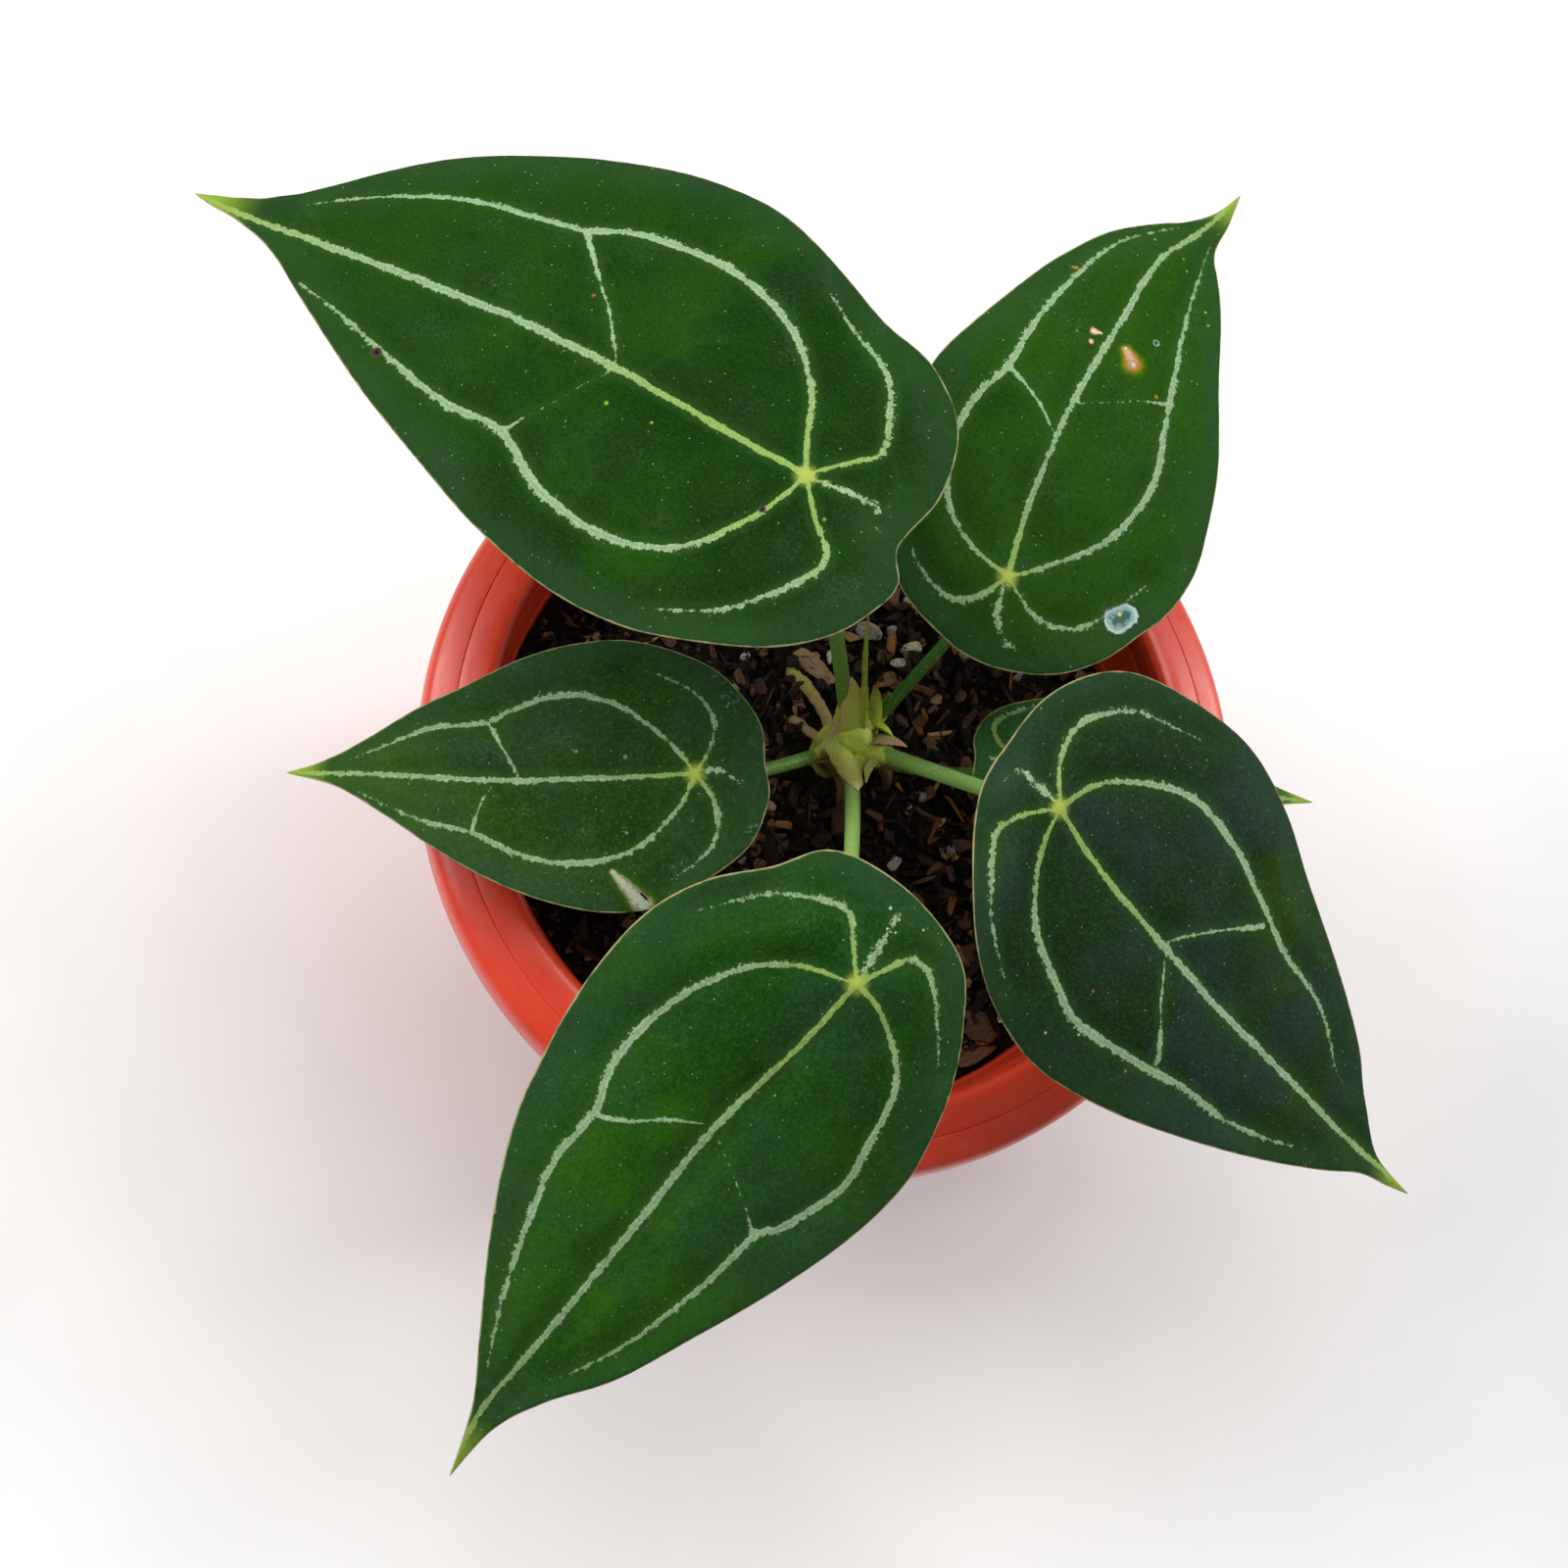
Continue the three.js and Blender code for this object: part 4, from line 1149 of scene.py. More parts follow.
def flesh_material(name, roughness, fibre, specks=rgb(96, 60, 34)):
    """Living skin whose colours are the mesh's tints, one of which on the crown is painted shade, with
    mottling, fibres and specks.
    """
    s = Shader(name)
    colour = s.vector("tint")
    mottled = s.noise(s.place, 1.6, detail=4, rough=0.6)
    colour = s.mix(s.fade(mottled, 0.45, 0.7, 0.0, 0.6), colour, rgb(214, 204, 140), "SOFT_LIGHT")
    colour = s.mix(s.fade(mottled, 0.46, 0.28, 0.0, 0.4), colour, rgb(150, 124, 76), "MULTIPLY")
    lines = s.noise(s.stretched(s.place, fibre), 0.4, detail=3, rough=0.7)
    colour = s.mix(s.fade(lines, 0.58, 0.74, 0.0, 0.5), colour, specks)
    colour = s.mix(s.dots(s.place, 0.9, 0.3, 0.3) * 0.5, colour, specks)
    relief = s.bump(lines, 0.15, 0.6)
    return s.finish(
        colour, roughness, relief, Specular_IOR_Level=0.35, Subsurface_Weight=0.05,
        Subsurface_Scale=0.002,
    )


OLIVE = rgb(190, 206, 98)
LIME = rgb(208, 230, 98)
SCAR_PINK = rgb(214, 176, 172)
BARK_BROWN = rgb(112, 80, 50)
DARK_BROWN = rgb(56, 42, 28)
PAPER_TAN = rgb(166, 142, 92)

# Stem: height, radius and how far its middle leans along X from the crown's place
STEM_RINGS = [
    (104, 4.4, 0), (110, 5.2, 0), (118, 5.3, 0), (121, 5.0, 0), (122.3, 5.9, 0), (123.6, 5.2, 0),
    (128, 5.3, 0), (129.6, 6.1, 0), (131, 5.3, 0.2), (135, 5.2, 0.4), (139, 4.7, 0.6),
    (142, 3.7, 0.8), (144.5, 1.9, 1.0),
]
# How thick each petiole's clasping base is at its root, and how far it reaches along the petiole
PETIOLE_BASES = [(3.7, 11), (3.0, 9), (3.1, 8), (3.9, 13), (3.9, 12), (2.6, 7)]
STEM_LEAN_Y = -0.4
STEM_SIDES = 48
BASE_STEP = 0.5
BASE_SIDES = 28
# How far a base starts inside the crown, as a share of its first four steps
BASE_INSET = 0.8
# The half sizes of a base, across it and out of it, as shares of its radius
BASE_OVAL = (1.08, 0.92)
VOXEL = 0.4
CROWN_BUMP = 0.16
CROWN_FOLD = 0.1
CROWN_TINTS_AND_SHADE = [
    ((2.5, 5.3, 112), 12, DARK_BROWN), ((2.5, 5.3, 125), 6, BARK_BROWN),
    # Painted shade: the near-black tint round (-2, 0, 128), by the bulge under petiole 3's base
    ((-3, 2, 129), 3.5, DARK_BROWN), ((-2, 0, 128), 5, rgb(26, 20, 13)), ((9, 6.6, 142), 2.6, LIME),
    ((3.8, 2, 143), 2.6, LIME), ((1.1, 4, 143), 2.8, LIME),
    ((8.5, 1.8, 141), 1.8, rgb(138, 122, 70)), ((-4.1, 0.6, 136.5), 1.5, BARK_BROWN),
    ((-1.8, 7.8, 138.5), 1.3, SCAR_PINK), ((-2.3, 6, 138.5), 1.4, SCAR_PINK),
    ((-2.0, 4.2, 138.5), 1.3, SCAR_PINK), ((-1.9, 2.1, 138), 1.2, rgb(166, 140, 96)),
]


def make_crown():
    x, y = CROWN_PLACE
    line = np.array([(x + shift, y + shift * STEM_LEAN_Y, height) for height, _, shift in STEM_RINGS])
    radii = np.array([[radius] for _, radius, _ in STEM_RINGS])
    parts = [tube(line, radii, STEM_SIDES, (1, 0, 0), 0.4)]
    for petiole, leaf, (thick, reach) in zip(PETIOLES, LEAVES.values(), PETIOLE_BASES):
        base = petiole_line(petiole, leaf, BASE_STEP)[: round(reach / BASE_STEP)]
        inward = base[0] - (base[4] - base[0]) * BASE_INSET
        base = np.vstack([inward, base])
        share = np.linspace(0, 1, len(base)) ** 0.8
        radius = thick + (petiole["widths"][0] / 2 - 0.1 - thick) * share
        parts.append(tube(base, radius[:, None] * BASE_OVAL, BASE_SIDES, PETIOLE_SIDE, 0.5))
    points, faces, _ = joined(parts)
    material = flesh_material("crown", 0.45, (1, 1, 0.3))
    crown = make_piece("crown_body", points, faces, material, ("crown",))

    def blend(piece):
        remesh = piece.modifiers.new("blend", "REMESH")
        remesh.mode = "VOXEL"
        remesh.voxel_size = VOXEL * MM
        remesh.use_smooth_shade = True
        soften = piece.modifiers.new("soften", "SMOOTH")
        soften.factor = 0.6
        soften.iterations = 7

    applied(crown, blend)
    mesh = crown.data
    places = np.empty(len(mesh.vertices) * 3, np.float32)
    normals = np.empty(len(places), np.float32)
    mesh.vertices.foreach_get("co", places)
    mesh.vertices.foreach_get("normal", normals)
    places = places.reshape(-1, 3) / MM
    bumpy = CROWN_BUMP * smooth_noise(places, 1.7, 2)
    bumpy = bumpy + CROWN_FOLD * smooth_noise(places * (1, 1, 3), 2.5, 2, 5)
    moved = places + normals.reshape(-1, 3) * bumpy[:, None]
    mesh.vertices.foreach_set("co", (moved * MM).astype(np.float32).ravel())
    attribute = mesh.attributes.new("tint", "FLOAT_VECTOR", "POINT")
    colours = tints(places, OLIVE, CROWN_TINTS_AND_SHADE)
    attribute.data.foreach_set("vector", colours.astype(np.float32).ravel())


SHEATH_STEP = 0.3
SHEATH_COLUMNS = 19
SHEATH_RAGGED = 0.12


def sheath(rows, face, lift, thickness):
    """A curved papery sheath along the ridge that its rows give, which is its outermost line."""
    path, radii, angles = zip(*rows)
    ridge = spline(path, SHEATH_STEP)
    _, across, out = line_frames(ridge, direction(face, lift))
    share = np.linspace(0, 1, len(ridge))
    knots = np.linspace(0, 1, len(radii))
    radius = np.interp(share, knots, radii)
    left, right = (np.interp(share, knots, side) for side in np.radians(angles).T)
    spread = np.linspace(-1, 1, SHEATH_COLUMNS)
    wobble = 1 + SHEATH_RAGGED * wave_noise(share, 9, 3, (0, face))
    rings = []
    for i in range(len(ridge)):
        turn = np.where(spread < 0, spread * left[i], spread * right[i]) * wobble[i]
        thin = thickness * (1 - 0.8 * np.abs(spread) ** 3) * (1 - 0.6 * share[i])
        normal = across[i] * np.sin(turn)[:, None] + out[i] * np.cos(turn)[:, None]
        skin = ridge[i] - out[i] * radius[i] + normal * radius[i]
        inner = skin - normal * thin[:, None]
        rings.append(np.vstack([skin, inner[::-1]]))
    sides = 2 * SHEATH_COLUMNS
    last = (len(rings) - 1) * sides
    ends = []
    for j in range(SHEATH_COLUMNS - 1):
        k = sides - 2 - j
        ends += [(j, j + 1, k), (j, k, k + 1)]
        ends += [(last + j, last + k, last + j + 1), (last + j, last + k + 1, last + k)]
    faces = np.vstack([ring_walls(len(rings), sides)[:, ::-1], ends])
    rim = np.abs(np.concatenate([spread, spread[::-1]]))
    values = {"share": np.repeat(share, sides), "rim": np.tile(rim, len(rings))}
    return np.vstack(rings), faces, values


# Each sheath: the heading and lift that it faces, its thickness, rows of a place on its ridge with
# the radius and the angles to its left and right edge there, and its colours low down, midway, along
# its edges and at its tip
SHEATHS = {
    "bract_1": {
        "face": (262, 20), "thickness": 0.5,
        "rows": [
            ((2.2, 3.4, 140.5), 5.2, (64, 58)), ((2.2, 4.6, 143.4), 5.0, (62, 42)),
            ((1.0, 7.0, 147.4), 4.8, (50, 30)), ((-0.4, 9.9, 152), 4.4, (34, 20)),
            ((-2.0, 12.9, 159), 4.0, (3, 3)),
        ],
        "looks": (rgb(192, 212, 84), rgb(194, 198, 92), rgb(214, 174, 132), rgb(214, 184, 134)),
    },
    "bract_2": {
        "face": (302, 20), "thickness": 0.45,
        "rows": [
            ((6.2, 5.2, 140.6), 3.8, (80, 80)), ((6.6, 7.0, 144.8), 3.2, (74, 66)),
            ((5.8, 9.2, 149.6), 2.5, (60, 54)), ((4.5, 11, 153.6), 1.9, (44, 42)),
            ((3.4, 12, 157), 1.5, (10, 10)),
        ],
        "looks": (rgb(190, 214, 60), rgb(158, 178, 50), rgb(176, 178, 76), rgb(164, 80, 48)),
    },
    "bract_3": {
        "face": (105, 42), "thickness": 0.4,
        "rows": [
            ((6.4, 5.4, 140.8), 3.6, (46, 60)), ((8.3, 5.0, 143.2), 3.3, (48, 54)),
            ((10.6, 3.6, 144.9), 2.7, (36, 36)), ((13.2, 1.9, 146), 2.3, (3, 3)),
        ],
        "looks": (rgb(152, 156, 60), rgb(176, 150, 106), rgb(200, 158, 134), rgb(208, 158, 138)),
    },
    "bract_4": {
        "face": (100, 42), "thickness": 0.45,
        "rows": [
            ((-1.9, 3.9, 141.4), 2.8, (60, 74)), ((-0.2, 0.7, 143.5), 3.0, (72, 84)),
            ((0.9, -2.9, 145.5), 2.7, (70, 76)), ((1.2, -6.3, 148.1), 2.3, (52, 58)),
            ((1.1, -9.4, 151.2), 2.1, (4, 4)),
        ],
        "looks": (rgb(186, 202, 84), rgb(186, 184, 92), rgb(208, 182, 122), rgb(228, 222, 166)),
    },
    "stipule_1": {
        "face": (60, 40), "thickness": 0.4,
        "rows": [
            ((9.2, 0.2, 141), 1.6, (8, 8)), ((6.6, -0.9, 144), 1.5, (34, 34)),
            ((4.8, -3.2, 145.4), 1.4, (40, 40)), ((3.9, -6.6, 146.6), 1.2, (6, 6)),
        ],
        "looks": (rgb(196, 180, 116), rgb(158, 170, 84), rgb(216, 194, 138), rgb(160, 172, 88)),
    },
    "stipule_2": {
        "face": (230, 20), "thickness": 0.3,
        "rows": [
            ((-0.4, 2.2, 137), 2.4, (56, 56)), ((-2.2, 2.0, 139), 2.0, (44, 44)),
            ((-4.0, 2.7, 140.4), 1.4, (4, 4)),
        ],
        "looks": (rgb(134, 122, 62), rgb(158, 134, 86), PAPER_TAN, rgb(190, 162, 116)),
    },
    "stipule_3": {
        "face": (120, 50), "thickness": 0.3,
        "rows": [
            ((-1.6, 1.2, 136.8), 1.9, (40, 44)), ((-3.2, 0.4, 137.6), 1.8, (34, 40)),
            ((-5.2, -0.6, 137.8), 1.5, (5, 5)),
        ],
        "looks": (rgb(110, 84, 48), rgb(124, 84, 50), rgb(160, 118, 76), rgb(76, 46, 28)),
    },
    "stipule_4": {
        "face": (275, 22), "thickness": 0.35,
        "rows": [
            ((7.9, 9.8, 140), 2.2, (60, 60)), ((8.6, 11.2, 143.6), 1.9, (44, 44)),
            ((9.2, 13.0, 147.4), 1.5, (10, 10)),
        ],
        "looks": (rgb(136, 154, 84), rgb(160, 170, 116), rgb(188, 192, 150), rgb(206, 206, 170)),
    },
    "stipule_5": {
        "face": (240, 20), "thickness": 0.3,
        "rows": [
            ((2.6, 5.6, 141.5), 1.9, (70, 70)), ((2.9, 8.0, 146.5), 1.7, (62, 62)),
            ((2.3, 10.6, 151.5), 1.4, (54, 54)), ((1.7, 12.4, 155.5), 1.1, (10, 10)),
        ],
        "looks": (rgb(176, 172, 84), rgb(184, 162, 104), rgb(200, 166, 136), rgb(182, 144, 114)),
    },
    "stipule_6": {
        "face": (40, 55), "thickness": 0.4,
        "rows": [
            ((7.6, 9.0, 139.6), 2.7, (60, 60)), ((8.6, 8.0, 142.4), 2.8, (66, 66)),
            ((9.6, 6.4, 143.8), 2.4, (56, 56)), ((10.6, 4.8, 143.6), 1.8, (10, 10)),
        ],
        "looks": (rgb(150, 172, 40), rgb(182, 212, 44), rgb(196, 214, 84), rgb(204, 206, 120)),
    },
}


def sheath_material(name, looks):
    low, middle, rim_colour, tip = looks
    s = Shader(name)
    share = s.number("share")
    colour = s.ramp(share, [(0.0, low), (0.45, middle), (0.75, middle), (1.0, tip)])
    cloud = s.noise(s.place, 1.3, detail=3) - 0.5
    rim = s.fade(s.number("rim") + cloud, 0.45, 1.0, 0.0, 0.9)
    colour = s.mix(rim, colour, rim_colour)
    lines = s.noise(s.stretched(s.place, (1, 1, 0.25)), 0.45, detail=4, rough=0.7)
    colour = s.mix(s.fade(lines, 0.54, 0.7, 0.0, 0.4), colour, BARK_BROWN)
    colour = s.mix(s.fade(lines, 0.46, 0.32, 0.0, 0.4), colour, rgb(212, 214, 120))
    colour = s.mix(s.dots(s.place, 0.9, 0.3, 0.3) * 0.6, colour, DARK_BROWN)
    relief = s.bump(lines, 0.16, 0.7)
    return s.finish(
        colour, 0.55, relief, Specular_IOR_Level=0.35, Subsurface_Weight=0.06, Subsurface_Scale=0.001,
    )


def make_sheaths():
    for name, made in SHEATHS.items():
        points, faces, values = sheath(made["rows"], *made["face"], made["thickness"])
        material = sheath_material(name, made["looks"])
        stands_for = (name,) if name.startswith("bract") else ()
        make_piece(f"{name}_skin", points, faces, material, stands_for, values=values)


SPEAR_SIDES = 20
SPEAR_PATH = [(4.4, 4.6, 141), (2.6, 9.4, 151), (0, 15.8, 163), (-1.9, 21.8, 174)]
# The spear's half thickness at shares of its length, and its rolled edge: where the groove starts
# round the spear, how far it turns along it, its width and its depth as a share of the half thickness
SPEAR_SIZES = [
    (0, 1.05), (0.36, 0.92), (0.42, 0.98), (0.45, 0.72), (0.68, 0.6), (0.71, 0.66), (0.74, 0.5),
    (1, 0.24),
]
GROOVE_START = 2
GROOVE_TURN = 1.5
GROOVE_WIDTH = 0.22
GROOVE_DEPTH = 0.22
SPEAR_TINTS = [
    ((2.4, 11.9, 154.4), 1.0, rgb(128, 62, 34)), ((-1.7, 20.8, 172.6), 2.4, rgb(186, 132, 66)),
    ((0.2, 15.2, 162), 0.8, rgb(196, 190, 120)), ((4.4, 4.6, 141), 6, rgb(158, 170, 40)),
]


def make_new_leaf():
    line = spline(SPEAR_PATH, 0.4)
    share = np.linspace(0, 1, len(line))
    radius = np.interp(share, *zip(*SPEAR_SIZES))
    points, faces, values = tube(line, radius[:, None], SPEAR_SIDES, UP, 1.0)
    past = values["around"] - GROOVE_START - GROOVE_TURN * values["share"]
    groove = np.exp(-((np.angle(np.exp(1j * past)) / GROOVE_WIDTH) ** 2))
    points = points - (points - centres(line, values["share"])) * GROOVE_DEPTH * groove[:, None]
    values["tint"] = tints(points, rgb(154, 176, 54), SPEAR_TINTS)
    material = flesh_material("new_leaf", 0.4, (1, 1, 0.2))
    make_piece("new_leaf_spear", points, faces, material, ("new_leaf",), values=values)


# Roots: half thickness at the start and the end, the base tint and the tints that stand out
ROOTS = {
    "root_1": {
        "path": [
            (0.5, 7, 128.5), (-1.0, 13, 127.5), (-3.2, 18.7, 124.6), (-6.4, 23.4, 122),
            (-9.3, 25.8, 119),
        ],
        "half": (1.2, 1.45), "base": rgb(142, 126, 76),
        "tints": [((-5, 21.5, 122), 3.0, rgb(158, 160, 70)), ((-9.5, 25.2, 115), 3.4, DARK_BROWN)],
    },
    "root_2": {
        "path": [(0, 6.5, 125), (-3.6, 9.8, 124.4), (-7.6, 13.6, 121), (-12.5, 17.0, 113)],
        "half": (1.05, 0.9), "base": rgb(140, 116, 84), "tints": [((-2, 8, 125), 3, rgb(158, 134, 92))],
    },
    "root_3": {
        "path": [(5, 4, 124), (10.6, 3.0, 126.5), (14.2, 0.4, 123), (14.6, -3.4, 114)],
        "half": (1.3, 1.1), "base": rgb(84, 64, 40), "tints": [((12, 2, 126), 3, rgb(96, 76, 44))],
    },
    "root_4": {
        "path": [(2.6, 2.5, 124), (4.0, -2.4, 124), (4.4, -6.4, 120), (3.6, -11, 113)],
        "half": (1.3, 1.1), "base": rgb(92, 70, 46), "tints": [],
    },
}


ROOT_SIDES = 24
ROOT_WANDER = 0.6
ROOT_LUMPS = 0.2
ROOT_ROUGHNESS = 0.18


def make_roots():
    for order, (name, root) in enumerate(ROOTS.items()):
        line = spline(root["path"], 0.4)
        share = np.linspace(0, 1, len(line))
        line = line + ROOT_WANDER * np.column_stack([
            wave_noise(share, 5, 2, (axis, 0), order + 1) for axis in range(3)
        ])
        lumpy = 1 + ROOT_LUMPS * wave_noise(share, 12, 3, seed=order + 7)
        start, end = root["half"]
        radius = (start + (end - start) * share) * lumpy
        points, faces, values = tube(line, radius[:, None], ROOT_SIDES, UP, 1.2)
        rough = 1 + ROOT_ROUGHNESS * smooth_noise(points, 1.1, 3)
        centre = centres(line, values["share"])
        points = centre + (points - centre) * rough[:, None]
        values["tint"] = tints(points, root["base"], root["tints"])
        material = flesh_material(name, 0.75, (1, 1, 1), DARK_BROWN)
        make_piece(f"{name}_skin", points, faces, material, (name,), values=values)


make_crown()
make_sheaths()
make_new_leaf()
make_roots()


# Pot
def outer_wall(height):
    return BASE_RADIUS + height * WALL_DRAFT


def inner_wall(height):
    return outer_wall(height) - WALL


def pot_profile():
    """The section from the middle of the foot round the rim to the middle of the floor. The rim's
    points are measured from its outer edge and its top."""
    floor_top = FOOT_STEP + FLOOR
    lower, upper = INNER_STEPS
    foot = [
        (0, 0), (FOOT_DISC_RADIUS, 0), (FOOT_DISC_RADIUS + 2, FOOT_STEP),
        (FOOT_RING_RADIUS - 2, FOOT_STEP), (FOOT_RING_RADIUS, 0), (BASE_RADIUS - 1, 0),
        (outer_wall(1.5), 1.5),
    ]
    rim_from_edge = [
        (outer_wall(POT_HEIGHT - 6) - RIM_RADIUS, -6), (-11.6, -2.3), (-9.4, -2.4), (-6.6, -3.6),
        (-3.6, -5.5), (-2.3, -7.2), (-WALL, -RIM_DEPTH), (0, -RIM_DEPTH), (0, -6.4), (-0.35, -5.0),
        (-1.2, -3.95), (-2.6, -3.1), (-4.6, -2.3), (-6.5, -1.64), (-6.63, -1.86), (-6.76, -1.55),
        (-8.8, -0.8), (-10.6, -0.3), (-12.4, 0), (-13.6, -0.2), (-14.5, -0.9), (-15.4, -3.2),
    ]
    rim = [(RIM_RADIUS + x, POT_HEIGHT + z) for x, z in rim_from_edge]
    inside_wall = [
        (inner_wall(upper) + 2 * INNER_STEP, upper + 0.4), (inner_wall(upper) + INNER_STEP, upper),
        (inner_wall(lower) + INNER_STEP, lower + 0.4), (inner_wall(lower), lower),
        (inner_wall(floor_top), floor_top), (FOOT_DISC_RADIUS + 4, floor_top),
        (FOOT_DISC_RADIUS, FLOOR), (0, FLOOR),
    ]
    return rounded([*foot, *rim, *inside_wall])


def drain_cutter():
    """The drain holes as one object, which the pot is cut by."""
    parts = []
    for i in range(DRAIN_COUNT):
        turn = (i + 0.5) / DRAIN_COUNT * 2 * math.pi
        x, y = DRAIN_CIRCLE * math.cos(turn), DRAIN_CIRCLE * math.sin(turn)
        line = np.array([(x, y, -DRAIN_REACH), (x, y, 2 * DRAIN_REACH)], float)
        parts.append(tube(line, DRAIN_RADIUS, DRAIN_SIDES, DRAIN_START, 0.2))
    points, faces, _ = joined(parts)
    mesh = bpy.data.meshes.new("drain")
    mesh.from_pydata((points * MM).tolist(), [], faces.tolist())
    return put("drain", mesh)


def make_pot():
    points, faces = turned(pot_profile(), POT_SEGMENTS)
    pot = make_piece("pot_body", points, faces, pot_material(), ("pot",))
    cutter = drain_cutter()

    def cut(piece):
        modifier = piece.modifiers.new("drain", "BOOLEAN")
        modifier.operation = "DIFFERENCE"
        modifier.solver = "EXACT"
        modifier.object = cutter

    applied(pot, cut)
    bpy.data.objects.remove(cutter)


def pot_material():
    s = Shader("pot_plastic")
    # Painted shade: faint darker bands by height, which stand in for the gentle waves of the rim's slope
    painted_shade_bands = s.noise(s.stretched(s.place, (0, 0, 1)), 5.0, detail=1)
    cloud = s.noise(s.place, 22, detail=4)
    colour = s.mix(s.fade(cloud, 0.3, 0.7), rgb(202, 52, 28), rgb(214, 62, 36))
    colour = s.mix(s.fade(painted_shade_bands, 0.45, 0.7, 0.0, 0.15), colour, rgb(184, 40, 20))
    scuff = s.noise(s.stretched(s.place, (0.3, 0.3, 2.5)), 3, detail=5, rough=0.7)
    colour = s.mix(s.fade(scuff, 0.62, 0.75, 0.0, 0.2), colour, rgb(220, 120, 96))
    dirt = s.dots(s.place, 8, 0.6, 0.22)
    colour = s.mix(dirt * 0.6, colour, rgb(90, 34, 22))
    relief = s.bump(s.noise(s.place, 1.4, detail=3), 0.05, 0.25)
    return s.finish(colour, s.fade(scuff, 0.3, 0.8, 0.26, 0.42), relief, Specular_IOR_Level=0.5)


make_pot()


# Potting mix
def soil_height(x, y):
    spread = (x * x + y * y) / inner_wall(SOIL_EDGE) ** 2
    waves = np.sin(0.21 * x + 1.3) * np.cos(0.17 * y - 0.4) + np.sin(0.38 * y + 0.25 * x)
    return SOIL_EDGE + SOIL_DOME * (1 - spread) + SOIL_LUMP * waves


def soil_material():
    s = Shader("humus")
    coarse = s.noise(s.place, 3.2, detail=6, rough=0.7)
    fine = s.noise(s.place, 0.9, detail=4, rough=0.7)
    colour = s.ramp(coarse, [(0.3, rgb(9, 7, 5)), (0.52, rgb(24, 17, 12)), (0.75, rgb(50, 34, 23))])
    colour = s.mix(s.fade(fine, 0.6, 0.75, 0.0, 0.5), colour, rgb(96, 68, 46))
    return s.finish(colour, 0.95, s.bump(fine, 0.8, 0.9), Specular_IOR_Level=0.2)


def make_soil():
    reach = inner_wall(SOIL_EDGE) - SOIL_CLEAR
    rings = round(reach / SOIL_STEP)
    bottom_reach = inner_wall(SOIL_BOTTOM) - SOIL_CLEAR
    profile = [(0, SOIL_BOTTOM), (bottom_reach, SOIL_BOTTOM), (reach, SOIL_EDGE)]
    profile += [(reach * i / rings, SOIL_EDGE) for i in range(rings - 1, -1, -1)]
    points, faces = turned(profile, SOIL_SEGMENTS)
    top = points[:, 2] > SOIL_EDGE - 1
    x, y = points[top, 0], points[top, 1]
    flat = points[top] * (1, 1, 0)
    rough = 1.5 * smooth_noise(flat, 6, 3) + 0.6 * smooth_noise(flat, 1.8, 2, seed=3)
    points[top, 2] = soil_height(x, y) - SOIL_UNDER_CHIPS + rough
    make_piece("humus", points, faces, soil_material(), ("potting_mix",))


make_soil()


def ball(fineness):
    mesh = bmesh.new()
    bmesh.ops.create_icosphere(mesh, subdivisions=fineness, radius=1)
    points = np.array([corner.co[:] for corner in mesh.verts])
    faces = np.array([[corner.index for corner in face.verts] for face in mesh.faces])
    mesh.free()
    return points, faces


def turning(tilt_x, tilt_y, heading):
    """Rotation matrices for arrays of two tilts and a heading, for row vectors."""
    cx, sx, cy, sy, cz, sz = (f(a) for a in (tilt_x, tilt_y, heading) for f in (np.cos, np.sin))
    zero, one = np.zeros_like(cx), np.ones_like(cx)
    about_x = np.array([[one, zero, zero], [zero, cx, sx], [zero, -sx, cx]])
    about_y = np.array([[cy, zero, -sy], [zero, one, zero], [sy, zero, cy]])
    about_z = np.array([[cz, sz, zero], [-sz, cz, zero], [zero, zero, one]])
    return np.einsum("abn,bcn,cdn->nad", about_x, about_y, about_z)


# How near a piece's middle its flat breaks are, and how far it tapers and bends
BREAK_REACH = (0.3, 0.85)
TAPER = 0.6
BEND = 0.12


def lumps(random, places, sizes, headings, tones, tilt, kind):
    """One mesh of many small rough pieces: boxy balls, broken flat on some sides, tapered and
    bent."""
    base, base_faces = ball(kind["fineness"])
    count = len(places)
    boxy = np.sign(base) * np.abs(base) ** kind["square"]
    shapes = boxy[None] * (1 + kind["rough"] * random.standard_normal((count, len(base), 1)))
    for _ in range(kind["breaks"]):
        facing = unit(random.standard_normal((count, 1, 3)))
        beyond = (shapes * facing).sum(2) - random.uniform(*BREAK_REACH, (count, 1))
        shapes -= np.maximum(0, beyond)[:, :, None] * facing
    shapes *= sizes[:, None, :] / 2
    taper = 1 + random.uniform(-TAPER, TAPER, (count, 1)) * base[None, :, 0]
    shapes[:, :, 1] *= taper
    bend = random.uniform(-BEND, BEND, (count, 1)) * sizes[:, :1]
    shapes[:, :, 2] += bend * base[None, :, 0] ** 2
    tilts = random.uniform(-tilt, tilt, (2, count))
    turns = turning(tilts[0], tilts[1], headings)
    points = np.einsum("nvi,nij->nvj", shapes, turns) + places[:, None, :]
    starts = np.arange(count)[:, None, None] * len(base)
    faces = (base_faces[None] + starts).reshape(-1, 3)
    own = shapes.reshape(-1, 3) + np.repeat(places, len(base), 0)
    values = {"tone": np.repeat(tones, len(base)), "own": own}
    return points.reshape(-1, 3), faces, values


# The space that is kept free of strewn pieces inside the wall and round the crown
WALL_CLEAR = 1
CROWN_CLEAR = 7
TONE_POWER = 1.05


